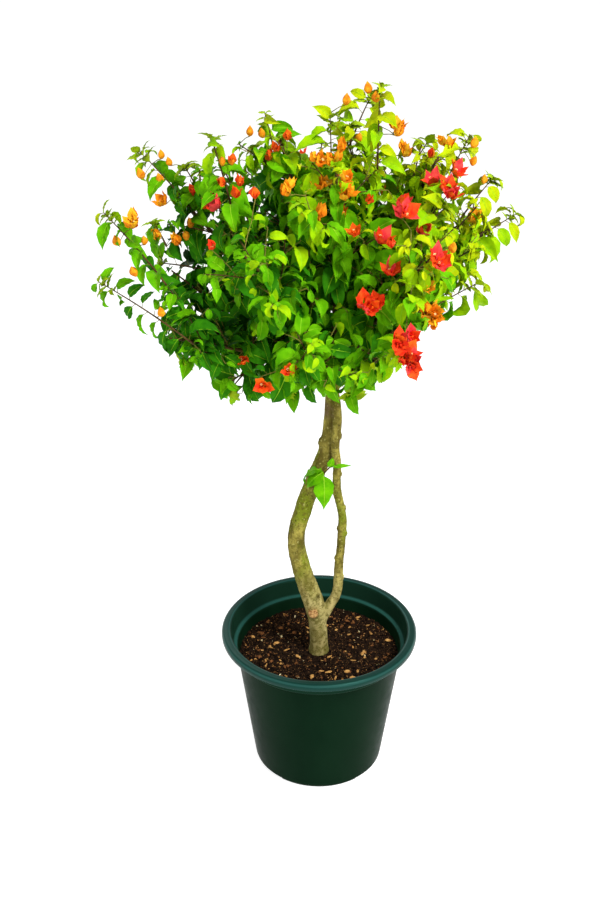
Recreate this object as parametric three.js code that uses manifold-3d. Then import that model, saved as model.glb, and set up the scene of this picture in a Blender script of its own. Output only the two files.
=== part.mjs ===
// A bougainvillea grown as a small standard in a plastic nursery pot. Two stems leave one foot,
// bow apart and fuse again under the crown. Eighteen boughs carry the crown's masses of foliage.
// Millimetres, +Z up. The origin is the centre of the pot's flat underside.
import * as THREE from "three";
import { mergeVertices } from "three/addons/utils/BufferGeometryUtils.js";
import Module from "manifold-3d";

const wasm = await Module();
wasm.setup();

// ---------------------------------------------------------------- driving sizes
const CLEARANCE = 0.3; // gap between pieces that touch
const UP = new THREE.Vector3(0, 0, 1);
const GOLDEN_ANGLE = THREE.MathUtils.degToRad(137.5);

const POT = {
  height: 232,
  rimRadius: 150,
  lipDepth: 10.5, // the turned-down edge of the rim
  mouthRadius: 136,
  ledgeRadius: 127.8,
  ledgeHeight: 204, // the step on the inside of the collar
  footRadius: 100.1,
  wallDraft: 0.1373, // how much the radius grows for each millimetre of height
  wall: 2.2,
  floor: 3,
  footHeight: 4, // the drained channel under the floor is this deep
  channel: [62, 94], // radii of that channel
  facets: 36,
};
const DRAIN = { holes: 8, holeRadius: 5, circleRadius: 78, notches: 4, notchWidth: 35, notchHeight: 3.5 };
const SOIL = { top: 185, roughness: 1.6, levelRadius: 24, rings: 6 };

// Stations of a stem's centre line with its radius: [x, y, z, radius].
const MAIN_STEM = [
  [0, 0, 185.3, 16],
  [0, 0, 203, 13.8],
  [-2, 0, 236, 13.6],
  [-8, -1, 275, 15.6],
  [-24, -3, 328, 14.2],
  [-35, -4, 388, 12.6],
  [-24, -1, 441, 12.4],
  [-9, 3, 485, 12.3],
  [8, 5, 532, 11],
  [14, 4, 575, 10.2],
  [16, 2, 625, 9.6],
  [20, 0, 665, 8.6],
  [18, 0, 706.15, 6.4],
];
const SIDE_STEM = [
  [2, 2, 238, 8],
  [13, 4, 262, 8],
  [27, 6, 290, 7.4],
  [29, 6, 333, 6.8],
  [32, 5, 380, 6.4],
  [33, 3, 422, 6.3],
  [24, -2, 474, 6.3],
  [24, -5, 512, 6.2],
  [20.8, -7, 543, 6.3],
  [22.5, -6, 590, 7.2],
  [17, -2, 645, 6],
];
// The stems are cut into pieces at these heights: where they part, at the bends, and where they meet.
const MAIN_CUTS = [300, 385, 503, 706];
const SIDE_CUTS = [284, 380, 503];
const BARK_RIPPLE = 0.035; // share of the radius
// Knots and pruned stubs on the stems: [stem, height, bearing in degrees, length, radius].
const STUBS = [
  [MAIN_STEM, 252, -115, 8, 6],
  [MAIN_STEM, 284, -160, 4, 4.5],
  [MAIN_STEM, 545, 180, 3, 3.2],
];

const HUB = new THREE.Vector3(18, 0, 650); // the crown spreads from here
const CROWN = { centre: new THREE.Vector3(-15, 0, 795), half: new THREE.Vector3(250, 230, 190) };
// The crown's underside rises outward from the trunk, more steeply on the right.
const UNDERSIDE = { height: 572, slope: 0.62, tilt: 0.18 };
// The masses of foliage: [name, bearing, rise (both in degrees), stretch of the leading shoot past the
// crown's outline, height where the bough leaves the trunk].
const MASSES = [
  ["left_low", 180, 21, 1.16, 622],
  ["back_left_low", 129, 24, 1.04, 640],
  ["back_low", 78, 26, 1.04, 622],
  ["back_right_low", 34, 29, 1.03, 640],
  ["right_low", -12, 31, 0.96, 626],
  ["front_right_low", -60, 28, 0.98, 640],
  ["front_low", -103, 26, 0.98, 622],
  ["front_left_low", -142, 24, 1, 638],
  ["left_high", 182, 50, 1.13, 662],
  ["back_left_high", 116, 48, 1.06, 670],
  ["back_right_high", 57, 49, 1.06, 662],
  ["right_high", 3, 45, 1.15, 670],
  ["front_right_high", -57, 48, 1, 662],
  ["front_left_high", -120, 46, 1, 670],
  ["top_left", 165, 76, 1.09, 694],
  ["top_right", 10, 65, 1.17, 688],
  ["top_front", -92, 70, 1.03, 690],
  ["top", 45, 85, 1.19, 704],
];
// More long shoots that stand out of a mass: [name, bearing, rise, stretch].
const LONG_SHOOTS = [
  ["left_low", 176, 34, 1.13],
  ["left_high", 170, 62, 1.05],
  ["right_high", -6, 53, 1.12],
  ["top_right", 8, 71, 1.07],
  ["top_left", 90, 88, 1.06],
  ["top", 5, 81, 1.17],
  ["back_left_high", 95, 60, 1.1],
  ["back_right_low", 50, 30, 1.1],
  ["front_left_low", -160, 26, 1.02],
];
const BOUGH = { reach: 80, rootRadius: 5.6, tipRadius: 3.6, sides: 5, rings: 4 };
// A shoot that forks off another starts this much thinner, so that its root stays inside.
const SHOOT = { tipRadius: 0.8, leaderTip: 1.5, fork: 0.46, lift: 0.15, sides: 3 };
// Places are shares of the leading shoot's length, and spread is in degrees at its foot and at its tip.
const SIDE_SHOOTS = { spacing: 28, fewest: 6, from: 0.02, to: 0.96, spread: [60, 36], lengths: [30, 125] };
// A leaf stands for the few that a shoot bears there, so it is larger than one of them.
const LEAF = { length: 72, width: 0.64, thickness: 0.05, widest: 0.42, spacing: 23, smallest: 0.5, tries: 5 };
const BRACT = { length: 34, width: 0.8, thickness: 0.06, share: 0.1 };
const BUD = { length: 28, width: 0.5, thickness: 0.4 };
// The sprout on the stem, and its leaves: [bearing, rise, length].
const SPROUT = { height: 478, bearing: -70, reach: 14, radius: 1.6 };
const SPROUT_LEAVES = [[-80, -62, 50], [10, -8, 30], [-170, 5, 26], [-20, 38, 24], [-140, 40, 24]];

// ---------------------------------------------------------------- solids
function toSolid(geometry) {
  geometry.deleteAttribute("normal");
  geometry.deleteAttribute("uv");
  const { attributes, index } = mergeVertices(geometry, 1e-4);
  const triVerts = new Uint32Array(index.array);
  return new wasm.Manifold(new wasm.Mesh({ numProp: 3, vertProperties: attributes.position.array, triVerts }));
}

function toGeometry(solid) {
  const { vertProperties, triVerts } = solid.getMesh();
  const geometry = new THREE.BufferGeometry();
  geometry.setAttribute("position", new THREE.BufferAttribute(vertProperties, 3));
  geometry.setIndex(new THREE.BufferAttribute(triVerts, 1));
  geometry.computeVertexNormals();
  return geometry;
}

const fuse = (solids) => solids.reduce((whole, piece) => whole.add(piece));
// The largest body of a solid: loose scraps go, and a hollow that the fusing sealed is filled.
const largest = (solid) => solid.decompose().sort((a, b) => b.volume() - a.volume())[0];

// ---------------------------------------------------------------- chance and directions
// A small seeded generator, so that the plant grows the same way every time.
function seeded(seed) {
  let state = (seed * 2654435761 + 12345) >>> 0;
  return (low = 0, high = 1) => {
    state = (Math.imul(state, 1664525) + 1013904223) >>> 0;
    return low + ((high - low) * state) / 4294967296;
  };
}

function direction(bearing, rise) {
  const [b, r] = [bearing, rise].map(THREE.MathUtils.degToRad);
  return new THREE.Vector3(Math.cos(r) * Math.cos(b), Math.cos(r) * Math.sin(b), Math.sin(r));
}

const along = (point, heading, distance) => point.clone().addScaledVector(heading, distance);

// A unit vector square to axis, turned round it by angle from the one that points most upward.
function squareTo(axis, angle) {
  const reference = Math.abs(axis.z) > 0.95 ? new THREE.Vector3(1, 0, 0) : UP;
  const first = reference.clone().addScaledVector(axis, -reference.dot(axis)).normalize();
  return first.applyAxisAngle(axis, angle);
}

// ---------------------------------------------------------------- limbs
// A limb is a centre line with a radius along it, both worked out at t from 0 to 1.
function stemLimb(stations) {
  const line = new THREE.CatmullRomCurve3(stations.map(([x, y, z]) => new THREE.Vector3(x, y, z)));
  const radius = (t) => {
    const s = Math.min(t * (stations.length - 1), stations.length - 1.0001);
    const i = Math.floor(s);
    return THREE.MathUtils.lerp(stations[i][3], stations[i + 1][3], THREE.MathUtils.smoothstep(s - i, 0, 1));
  };
  return { line, radius };
}

function taperedLimb(from, bend, to, rootRadius, tipRadius) {
  const line = new THREE.QuadraticBezierCurve3(from, bend, to);
  return { line, radius: (t) => THREE.MathUtils.lerp(rootRadius, tipRadius, t) };
}

// The place along a stem where it reaches a height, as t.
function atHeight(limb, height) {
  let [low, high] = [0, 1];
  for (let i = 0; i < 40; i++) {
    const middle = (low + high) / 2;
    if (limb.line.getPoint(middle).z < height) low = middle;
    else high = middle;
  }
  return low;
}

// The limb's solid between two places along it: a cylinder bent onto the centre line.
function limbSolid(limb, { from = 0, to = 1, sides = 12, rings = 12, grow = 0, bark = 0 } = {}) {
  const geometry = new THREE.CylinderGeometry(1, 1, 1, sides, rings);
  const place = geometry.attributes.position;
  const reference = squareTo(limb.line.getPoint(1).sub(limb.line.getPoint(0)).normalize(), 0);
  for (let i = 0; i < place.count; i++) {
    const t = THREE.MathUtils.lerp(from, to, place.getY(i) + 0.5);
    const tangent = limb.line.getTangent(t);
    const side = reference.clone().addScaledVector(tangent, -reference.dot(tangent)).normalize();
    const other = new THREE.Vector3().crossVectors(side, tangent);
    const ripple = 1 + bark * Math.sin(3 * Math.atan2(place.getZ(i), place.getX(i)) + 31 * t);
    const r = (limb.radius(t) + grow) * ripple;
    const point = limb.line.getPoint(t);
    point.addScaledVector(side, place.getX(i) * r).addScaledVector(other, place.getZ(i) * r);
    place.setXYZ(i, point.x, point.y, point.z);
  }
  return toSolid(geometry);
}

// ---------------------------------------------------------------- pot and soil
const wallRadius = (z) => POT.footRadius + POT.wallDraft * z;

function lathe(profile, facets) {
  const points = profile.map(([r, z]) => new THREE.Vector2(r, z));
  return toSolid(new THREE.LatheGeometry(points, facets).rotateX(Math.PI / 2));
}

function potSolid() {
  const { height, rimRadius, lipDepth, mouthRadius, ledgeRadius, ledgeHeight, footHeight, channel } = POT;
  const base = footHeight + POT.floor;
  const body = lathe(
    [
      [0, 0],
      [channel[0], 0],
      [channel[0] + 1, footHeight],
      [channel[1], footHeight],
      [channel[1] + 1, 0],
      [wallRadius(0), 0],
      [wallRadius(ledgeHeight - 4), ledgeHeight - 4],
      [ledgeRadius + 6.6, ledgeHeight + 1],
      [mouthRadius, height - 4],
      [rimRadius - 3, height - 4],
      [rimRadius - 2.6, height - lipDepth],
      [rimRadius - 0.6, height - lipDepth],
      [rimRadius, height - 4.5],
      [rimRadius - 3, height],
      [mouthRadius + 2.5, height],
      [mouthRadius - 0.8, height - 2],
      [ledgeRadius + 4.4, ledgeHeight + 2],
      [wallRadius(ledgeHeight) - POT.wall, ledgeHeight],
      [wallRadius(base) - POT.wall - 1, base],
      [0, base],
    ],
    POT.facets,
  );
  const holes = Array.from({ length: DRAIN.holes }, (_, i) => {
    const drill = new THREE.CylinderGeometry(DRAIN.holeRadius, DRAIN.holeRadius, 4 * base, 8);
    drill.rotateX(Math.PI / 2).translate(DRAIN.circleRadius, 0, 0);
    return toSolid(drill.rotateZ(((i + 0.5) * 2 * Math.PI) / DRAIN.holes));
  });
  const notches = Array.from({ length: DRAIN.notches }, (_, i) => {
    const cutter = new THREE.BoxGeometry(30, DRAIN.notchWidth, 2 * DRAIN.notchHeight);
    return toSolid(cutter.translate(wallRadius(0), 0, 0).rotateZ(((i + 0.5) * 2 * Math.PI) / DRAIN.notches));
  });
  return body.subtract(fuse([...holes, ...notches]));
}

// Potting mix fills the pot to below the ledge. Its top is lumpy, and level where the foot stands.
function soilSolid() {
  const base = POT.footHeight + POT.floor + CLEARANCE;
  const edge = (z) => wallRadius(z) - POT.wall - 2 * CLEARANCE;
  const top = Array.from({ length: SOIL.rings }, (_, i) => [edge(SOIL.top) * (1 - i / SOIL.rings), SOIL.top]);
  const profile = [[0, base], [edge(base) - 1, base], ...top, [0, SOIL.top]];
  const geometry = new THREE.LatheGeometry(profile.map(([r, z]) => new THREE.Vector2(r, z)), POT.facets / 2);
  geometry.rotateX(Math.PI / 2);
  const place = geometry.attributes.position;
  for (let i = 0; i < place.count; i++) {
    const [x, y, z] = [place.getX(i), place.getY(i), place.getZ(i)];
    if (z < SOIL.top - 1 || Math.hypot(x, y) < SOIL.levelRadius) continue;
    place.setZ(i, z + SOIL.roughness * Math.sin(x / 11 + 2) * Math.cos(y / 9 - x / 17));
  }
  return toSolid(geometry);
}

// ---------------------------------------------------------------- stems
const mainStem = stemLimb(MAIN_STEM);
const sideStem = stemLimb(SIDE_STEM);
const limbOf = (stations) => (stations === MAIN_STEM ? mainStem : sideStem);

function stubSolid([stations, height, bearing, length, radius], grow) {
  const limb = limbOf(stations);
  const centre = limb.line.getPoint(atHeight(limb, height));
  const reach = limb.radius(atHeight(limb, height));
  const heading = direction(bearing, 25);
  const [start, end] = [along(centre, heading, reach * 0.5), along(centre, heading, reach + length / 2)];
  const stub = taperedLimb(start, start.clone().lerp(end, 0.5), end, radius + grow, radius * 0.75 + grow);
  return limbSolid(stub, { sides: 7, rings: 2 });
}

// One piece of a stem between two cut heights, which leaves half the clearance at each cut end.
function stemPiece(limb, lowCut, highCut, rings, sides, grow) {
  const gap = CLEARANCE / 2 - grow;
  const from = lowCut === undefined ? 0 : atHeight(limb, lowCut + gap);
  const to = highCut === undefined ? 1 : atHeight(limb, highCut - gap);
  return limbSolid(limb, { from, to, rings, sides, grow, bark: BARK_RIPPLE });
}

// The stems' pieces. Grown by the clearance, the same pieces cut whatever comes near them.
function stemSolids(grow = 0) {
  const main = (low, high, rings) => stemPiece(mainStem, low, high, rings, 10, grow);
  const side = (low, high, rings) => stemPiece(sideStem, low, high, rings, 8, grow);
  const [stub, footKnot, topKnot] = STUBS.map((knot) => stubSolid(knot, grow));
  return {
    trunk_foot: fuse([main(undefined, MAIN_CUTS[0], 8), side(undefined, SIDE_CUTS[0], 3), stub, footKnot]),
    main_stem_lower: main(MAIN_CUTS[0], MAIN_CUTS[1], 6),
    main_stem_upper: main(MAIN_CUTS[1], MAIN_CUTS[2], 8),
    side_stem_lower: side(SIDE_CUTS[0], SIDE_CUTS[1], 6),
    side_stem_upper: side(SIDE_CUTS[1], SIDE_CUTS[2], 7),
    trunk_top: fuse([main(MAIN_CUTS[2], MAIN_CUTS[3], 10), side(SIDE_CUTS[2], undefined, 7), topKnot]),
  };
}

// ---------------------------------------------------------------- the crown's rule
// How far the crown's outline is from the hub along a heading.
function outlineDistance(heading) {
  const start = HUB.clone().sub(CROWN.centre).divide(CROWN.half);
  const step = heading.clone().divide(CROWN.half);
  const [a, b, c] = [step.lengthSq(), 2 * start.dot(step), start.lengthSq() - 1];
  return (-b + Math.sqrt(b * b - 4 * a * c)) / (2 * a);
}

const masses = MASSES.map(([name, bearing, rise, stretch, forkHeight], index) => {
  const heading = direction(bearing, rise);
  return { name, index, heading, reach: outlineDistance(heading) * stretch, forkHeight };
});

// A mass keeps to the cone of space that lies nearer to its heading than to any other's.
function inOwnSpace(mass, point, margin = 0.5) {
  const out = point.clone().sub(HUB);
  return masses.every((other) => {
    if (other === mass) return true;
    const across = other.heading.clone().sub(mass.heading).normalize();
    return out.dot(across) < -margin;
  });
}

function inOutline(point) {
  return point.clone().sub(CROWN.centre).divide(CROWN.half).lengthSq() < 1;
}

function aboveUnderside(point, margin = 0) {
  const [x, y] = [point.x - HUB.x, point.y - HUB.y];
  return point.z > UNDERSIDE.height + margin + UNDERSIDE.slope * Math.hypot(x, y) + UNDERSIDE.tilt * x;
}

// The bough of a mass: from inside the trunk to the place where the mass begins.
function boughLimb(mass) {
  const root = mainStem.line.getPoint(atHeight(mainStem, mass.forkHeight));
  const tip = along(HUB, mass.heading, BOUGH.reach);
  const bend = along(HUB, mass.heading, BOUGH.reach * 0.5);
  return taperedLimb(root, bend, tip, BOUGH.rootRadius, BOUGH.tipRadius);
}

// A shoot is straight, and tapers to its tip.
function shootLimb(start, tip, rootRadius, tipRadius = SHOOT.tipRadius) {
  const radius = (t) => THREE.MathUtils.lerp(rootRadius, tipRadius, t);
  return { line: new THREE.LineCurve3(start, tip), radius, length: start.distanceTo(tip) };
}

// The leading shoot goes on from the bough to the mass's furthest tip, and other long ones fork off it.
function longShoots(mass) {
  const start = along(HUB, mass.heading, BOUGH.reach + CLEARANCE);
  const leader = shootLimb(start, along(HUB, mass.heading, mass.reach), BOUGH.tipRadius, SHOOT.leaderTip);
  const others = LONG_SHOOTS.filter(([name]) => name === mass.name).map(([, bearing, rise, stretch]) => {
    const heading = direction(bearing, rise);
    const tip = along(HUB, heading, outlineDistance(heading) * stretch);
    return shootLimb(leader.line.getPoint(0.08), tip, SHOOT.fork * leader.radius(0.08));
  });
  return [leader, ...others];
}

// Side shoots leave the leader all round, the lowest ones widest, and each stays in the mass's space.
function sideShoots(mass, leader) {
  const { spacing, fewest, from, to, spread, lengths } = SIDE_SHOOTS;
  const count = Math.max(fewest, Math.round(leader.length / spacing));
  const shoots = [];
  for (let i = 0; i < count; i++) {
    const random = seeded(100 * mass.index + i + 1);
    const share = (i + 0.5) / count;
    const t = from + (to - from) * share;
    const tangent = leader.line.getTangent(t);
    const turn = i * GOLDEN_ANGLE + mass.index + random(-0.3, 0.3);
    const angle = THREE.MathUtils.degToRad(THREE.MathUtils.lerp(spread[0], spread[1], share) + random(-8, 8));
    const outward = squareTo(tangent, turn).multiplyScalar(Math.sin(angle));
    const heading = tangent.clone().multiplyScalar(Math.cos(angle)).add(outward);
    heading.addScaledVector(UP, SHOOT.lift).normalize();
    const start = leader.line.getPoint(t);
    const clear = (tip) => inOwnSpace(mass, tip, 6) && aboveUnderside(tip, 15);
    let length = lengths[1] * random(0.8, 1.1);
    const tipOf = () => along(start, heading, length);
    while (length > lengths[0] && !(clear(tipOf()) && inOutline(tipOf()))) length *= 0.9;
    if (clear(tipOf())) shoots.push(shootLimb(start, tipOf(), SHOOT.fork * leader.radius(t)));
  }
  return shoots;
}

// A blade is a tetrahedron drawn out flat: its midrib is the ridge from root to tip, and its two
// sides hang a little lower, so that the upper face folds along the midrib.
function bladeSolid(root, heading, facing, { length, width, thickness }) {
  const across = new THREE.Vector3().crossVectors(heading, facing).normalize();
  const ridge = new THREE.Vector3().crossVectors(across, heading).normalize();
  const geometry = new THREE.TetrahedronGeometry(1);
  const place = geometry.attributes.position;
  for (let i = 0; i < place.count; i++) {
    const [x, y, z] = [place.getX(i), place.getY(i), place.getZ(i)].map(Math.sign);
    const midrib = z > 0;
    const point = along(root, heading, midrib ? ((1 - x) / 2) * length : LEAF.widest * length);
    if (!midrib) point.addScaledVector(across, ((y - x) / 4) * width * length);
    if (!midrib) point.addScaledVector(ridge, -thickness * length);
    place.setXYZ(i, point.x, point.y, point.z);
  }
  return toSolid(geometry);
}

// The way a leaf points and faces: out from its twig and hanging, its upper side turned by chance
// between the open sky and the outside of the crown.
function leafPose(point, tangent, turn, hang, tilt) {
  const heading = squareTo(tangent, turn).multiplyScalar(0.8).addScaledVector(tangent, 0.45);
  heading.addScaledVector(UP, -hang).normalize();
  const facing = point.clone().sub(HUB).normalize().multiplyScalar(0.8).addScaledVector(UP, 0.6);
  facing.addScaledVector(heading, -facing.dot(heading)).normalize().applyAxisAngle(heading, tilt);
  return { heading, facing };
}

// Leaves stand round a shoot by the golden angle, smaller toward its tip, and some blooms among them.
// Each is a list of tries, and the first that fits is grown.
function leavesOn(shoot, seed, first = 0.1) {
  const random = seeded(seed);
  const count = Math.max(2, Math.round((shoot.length * (1 - first)) / LEAF.spacing));
  const growths = [];
  for (let i = 0; i <= count; i++) {
    const t = 1 - (i * (1 - first)) / count;
    const [point, tangent] = [shoot.line.getPoint(t), shoot.line.getTangent(t)];
    const turn = i * GOLDEN_ANGLE + random(0, 0.8);
    const [hang, tilt] = [random(0.3, 1), random(-0.9, 0.9)];
    const grownShare = THREE.MathUtils.lerp(LEAF.smallest, 1, Math.min(1, i / 3));
    const length = LEAF.length * grownShare * random(0.85, 1.1);
    const leaf = (attempt) => {
      const turned = turn + (attempt * 2 * Math.PI) / LEAF.tries;
      const { heading, facing } = leafPose(point, tangent, turned, hang, tilt);
      return bladeSolid(along(point, heading, -0.3 * shoot.radius(t)), heading, facing, { ...LEAF, length });
    };
    growths.push(Array.from({ length: LEAF.tries }, (_, attempt) => () => leaf(attempt)));
    if (i === 1 || random() > BRACT.share) continue;
    const bloom = fuse(bractSolids(point, squareTo(tangent, turn + 2.4), shoot.radius(t), random));
    growths.push([() => bloom]);
  }
  return growths;
}

// A bloom is three bracts round a short stalk's end, and a bud is one closed, fuller bract.
function bractSolids(point, heading, depth, random) {
  const root = along(point, heading, -0.3 * depth);
  if (random() < 0.5) return [bladeSolid(root, heading, squareTo(heading, 0), BUD)];
  return [0, 1, 2].map((i) => {
    const outward = squareTo(heading, i * ((2 * Math.PI) / 3) + random(0, 0.4));
    const way = heading.clone().addScaledVector(outward, 0.55).normalize();
    return bladeSolid(root, way, outward.negate(), BRACT);
  });
}

// ---------------------------------------------------------------- the crown's solids
function vertices(solid) {
  const { vertProperties, numVert } = solid.getMesh();
  return Array.from({ length: numVert }, (_, i) => new THREE.Vector3().fromArray(vertProperties, 3 * i));
}

const shootSolid = (shoot) => limbSolid(shoot, { sides: SHOOT.sides, rings: 1 });

// One mass: its shoots, then the leaves that keep clear of the limbs, other shoots and one another.
function massSolid(mass, limbs) {
  const inside = (v) => inOwnSpace(mass, v) && aboveUnderside(v);
  const clearOf = (solid, others) => others.every((other) => solid.intersect(other).isEmpty());
  const fits = (solid, others = []) => vertices(solid).every(inside) && clearOf(solid, [limbs, ...others]);
  const [leader, ...longOnes] = longShoots(mass);
  const shoots = [...longOnes, ...sideShoots(mass, leader)].filter((shoot) => fits(shootSolid(shoot)));
  const grown = [leader, ...shoots].map((shoot) => ({ shoot, solid: shootSolid(shoot) }));
  let leaves = null;
  for (const [i, { shoot, solid }] of grown.entries()) {
    const others = grown.filter((twig) => twig.solid !== solid).map((twig) => twig.solid);
    for (const tries of leavesOn(shoot, 1000 * mass.index + i)) {
      const nearby = leaves ? [...others, leaves] : others;
      const leaf = tries.map((grow) => grow()).find((blade) => fits(blade, nearby));
      if (leaf) leaves = leaves ? leaves.add(leaf) : leaf;
    }
  }
  return largest(fuse([...grown.map((twig) => twig.solid), leaves]));
}

function sproutSolid(limbs) {
  const t = atHeight(mainStem, SPROUT.height);
  const heading = direction(SPROUT.bearing, 20);
  const start = along(mainStem.line.getPoint(t), heading, mainStem.radius(t) * 0.8);
  const stem = shootLimb(start, along(start, heading, SPROUT.reach), SPROUT.radius);
  const leaves = SPROUT_LEAVES.map(([bearing, rise, length], i) => {
    const point = stem.line.getPoint(0.4 + 0.12 * i);
    const out = direction(bearing, rise);
    const facing = direction(SPROUT.bearing, 40);
    return bladeSolid(along(point, out, -0.3 * SPROUT.radius), out, facing, { ...LEAF, length });
  });
  return largest(fuse([shootSolid(stem), ...leaves]).subtract(limbs));
}

// ---------------------------------------------------------------- the plant
const MATERIALS = {
  pot: new THREE.MeshStandardMaterial({ color: 0x17392c, roughness: 0.42, metalness: 0 }),
  soil: new THREE.MeshStandardMaterial({ color: 0x33241a, roughness: 0.95, metalness: 0 }),
  bark: new THREE.MeshStandardMaterial({ color: 0x8c7f4f, roughness: 0.85, metalness: 0 }),
  foliage: new THREE.MeshStandardMaterial({ color: 0x4f9414, roughness: 0.45, metalness: 0 }),
};

const plant = new THREE.Group();
function addNode(name, solid, material) {
  const mesh = new THREE.Mesh(toGeometry(solid), MATERIALS[material]);
  mesh.name = name;
  plant.add(mesh);
}

addNode("pot", potSolid(), "pot");
addNode("soil", soilSolid(), "soil");
for (const [name, solid] of Object.entries(stemSolids())) addNode(name, solid, "bark");

// Trunk and boughs grown by the clearance: what touches them is cut by these or left out.
let limbs = fuse(Object.values(stemSolids(CLEARANCE)));
const boughShape = { sides: BOUGH.sides, rings: BOUGH.rings };
for (const mass of masses) {
  const limb = boughLimb(mass);
  addNode("bough_" + mass.name, largest(limbSolid(limb, boughShape).subtract(limbs)), "bark");
  limbs = limbs.add(limbSolid(limb, { ...boughShape, grow: CLEARANCE }));
}
for (const mass of masses) addNode("foliage_" + mass.name, massSolid(mass, limbs), "foliage");
addNode("sprout", sproutSolid(limbs), "foliage");

export default plant;
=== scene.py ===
"""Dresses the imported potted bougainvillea: pot, soil, bark, twigs, leaves and blossom.

The crown grows by the rule of the part's source, written again here, and goes on to finer twigs.
The rule works in millimetres in the row's frame. Meshes are turned into metres as they are made.
"""
import math
from collections import namedtuple

import bpy
import numpy as np
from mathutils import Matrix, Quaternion, Vector, noise


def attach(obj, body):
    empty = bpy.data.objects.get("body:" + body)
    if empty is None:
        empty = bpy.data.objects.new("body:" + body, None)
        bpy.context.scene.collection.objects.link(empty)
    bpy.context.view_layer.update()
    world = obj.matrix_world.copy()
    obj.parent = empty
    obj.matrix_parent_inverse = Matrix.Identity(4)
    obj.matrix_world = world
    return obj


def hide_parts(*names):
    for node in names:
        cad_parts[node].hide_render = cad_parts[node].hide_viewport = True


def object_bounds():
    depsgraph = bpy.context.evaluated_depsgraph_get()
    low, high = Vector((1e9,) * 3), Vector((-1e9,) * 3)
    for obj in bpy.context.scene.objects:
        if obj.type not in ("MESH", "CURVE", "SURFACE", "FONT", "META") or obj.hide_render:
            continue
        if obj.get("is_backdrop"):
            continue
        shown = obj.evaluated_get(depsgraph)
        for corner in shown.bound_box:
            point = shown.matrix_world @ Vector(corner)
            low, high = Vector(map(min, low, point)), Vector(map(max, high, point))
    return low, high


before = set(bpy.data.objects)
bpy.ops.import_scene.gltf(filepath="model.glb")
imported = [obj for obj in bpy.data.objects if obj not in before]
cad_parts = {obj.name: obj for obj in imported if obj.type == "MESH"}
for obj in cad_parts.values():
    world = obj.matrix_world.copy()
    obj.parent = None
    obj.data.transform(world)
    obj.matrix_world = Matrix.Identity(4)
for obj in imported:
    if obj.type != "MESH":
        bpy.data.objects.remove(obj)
CAD_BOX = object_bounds()

# ---------------------------------------------------------------- sizes shared with the source
MM = 0.001
UP = Vector((0, 0, 1))
GOLDEN_ANGLE = math.radians(137.5)

POT = {
    "height": 232, "rim_radius": 150, "lip_depth": 10.5, "mouth_radius": 136, "ledge_radius": 127.8,
    "ledge_height": 204, "foot_radius": 100.1, "wall_draft": 0.1373, "wall": 2.2, "floor": 3,
    "foot_height": 4, "channel": (62, 94),
}
DRAIN = {
    "holes": 8, "hole_radius": 5, "circle_radius": 78, "notches": 4, "notch_width": 35, "notch_height": 3.5,
}
SOIL_TOP = 185

# Stations of a stem's centre line with its radius: (x, y, z, radius).
MAIN_STEM = [
    (0, 0, 185.3, 16), (0, 0, 203, 13.8), (-2, 0, 236, 13.6), (-8, -1, 275, 15.6), (-24, -3, 328, 14.2),
    (-35, -4, 388, 12.6), (-24, -1, 441, 12.4), (-9, 3, 485, 12.3), (8, 5, 532, 11), (14, 4, 575, 10.2),
    (16, 2, 625, 9.6), (20, 0, 665, 8.6), (18, 0, 706.15, 6.4),
]
SIDE_STEM = [
    (2, 2, 238, 8), (13, 4, 262, 8), (27, 6, 290, 7.4), (29, 6, 333, 6.8), (32, 5, 380, 6.4),
    (33, 3, 422, 6.3), (24, -2, 474, 6.3), (24, -5, 512, 6.2), (20.8, -7, 543, 6.3), (22.5, -6, 590, 7.2),
    (17, -2, 645, 6),
]

HUB = Vector((18, 0, 650))
CROWN_CENTRE = Vector((-15, 0, 795))
CROWN_HALF = Vector((250, 230, 190))
UNDERSIDE = {"height": 572, "slope": 0.62, "tilt": 0.18}
# name: (bearing, rise, stretch of the leading shoot, height where the bough leaves the trunk)
MASSES = {
    "left_low": (180, 21, 1.16, 622),
    "back_left_low": (129, 24, 1.04, 640),
    "back_low": (78, 26, 1.04, 622),
    "back_right_low": (34, 29, 1.03, 640),
    "right_low": (-12, 31, 0.96, 626),
    "front_right_low": (-60, 28, 0.98, 640),
    "front_low": (-103, 26, 0.98, 622),
    "front_left_low": (-142, 24, 1, 638),
    "left_high": (182, 50, 1.13, 662),
    "back_left_high": (116, 48, 1.06, 670),
    "back_right_high": (57, 49, 1.06, 662),
    "right_high": (3, 45, 1.15, 670),
    "front_right_high": (-57, 48, 1, 662),
    "front_left_high": (-120, 46, 1, 670),
    "top_left": (165, 76, 1.09, 694),
    "top_right": (10, 65, 1.17, 688),
    "top_front": (-92, 70, 1.03, 690),
    "top": (45, 85, 1.19, 704),
}
# More long shoots that stand out of a mass: (mass, bearing, rise, stretch).
LONG_SHOOTS = [
    ("left_low", 176, 34, 1.13),
    ("left_high", 170, 62, 1.05),
    ("right_high", -6, 53, 1.12),
    ("top_right", 8, 71, 1.07),
    ("top_left", 90, 88, 1.06),
    ("top", 5, 81, 1.17),
    ("back_left_high", 95, 60, 1.1),
    ("back_right_low", 50, 30, 1.1),
    ("front_left_low", -160, 26, 1.02),
]
BOUGH = {"reach": 80, "root_radius": 5.6, "tip_radius": 3.6}
SHOOT = {"tip_radius": 0.8, "leader_tip": 1.5, "fork": 0.46, "lift": 0.15}
SIDE_SHOOTS = {"spacing": 28, "fewest": 6, "stretch": (0.02, 0.96), "spread": (60, 36), "lengths": (30, 125)}

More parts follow.
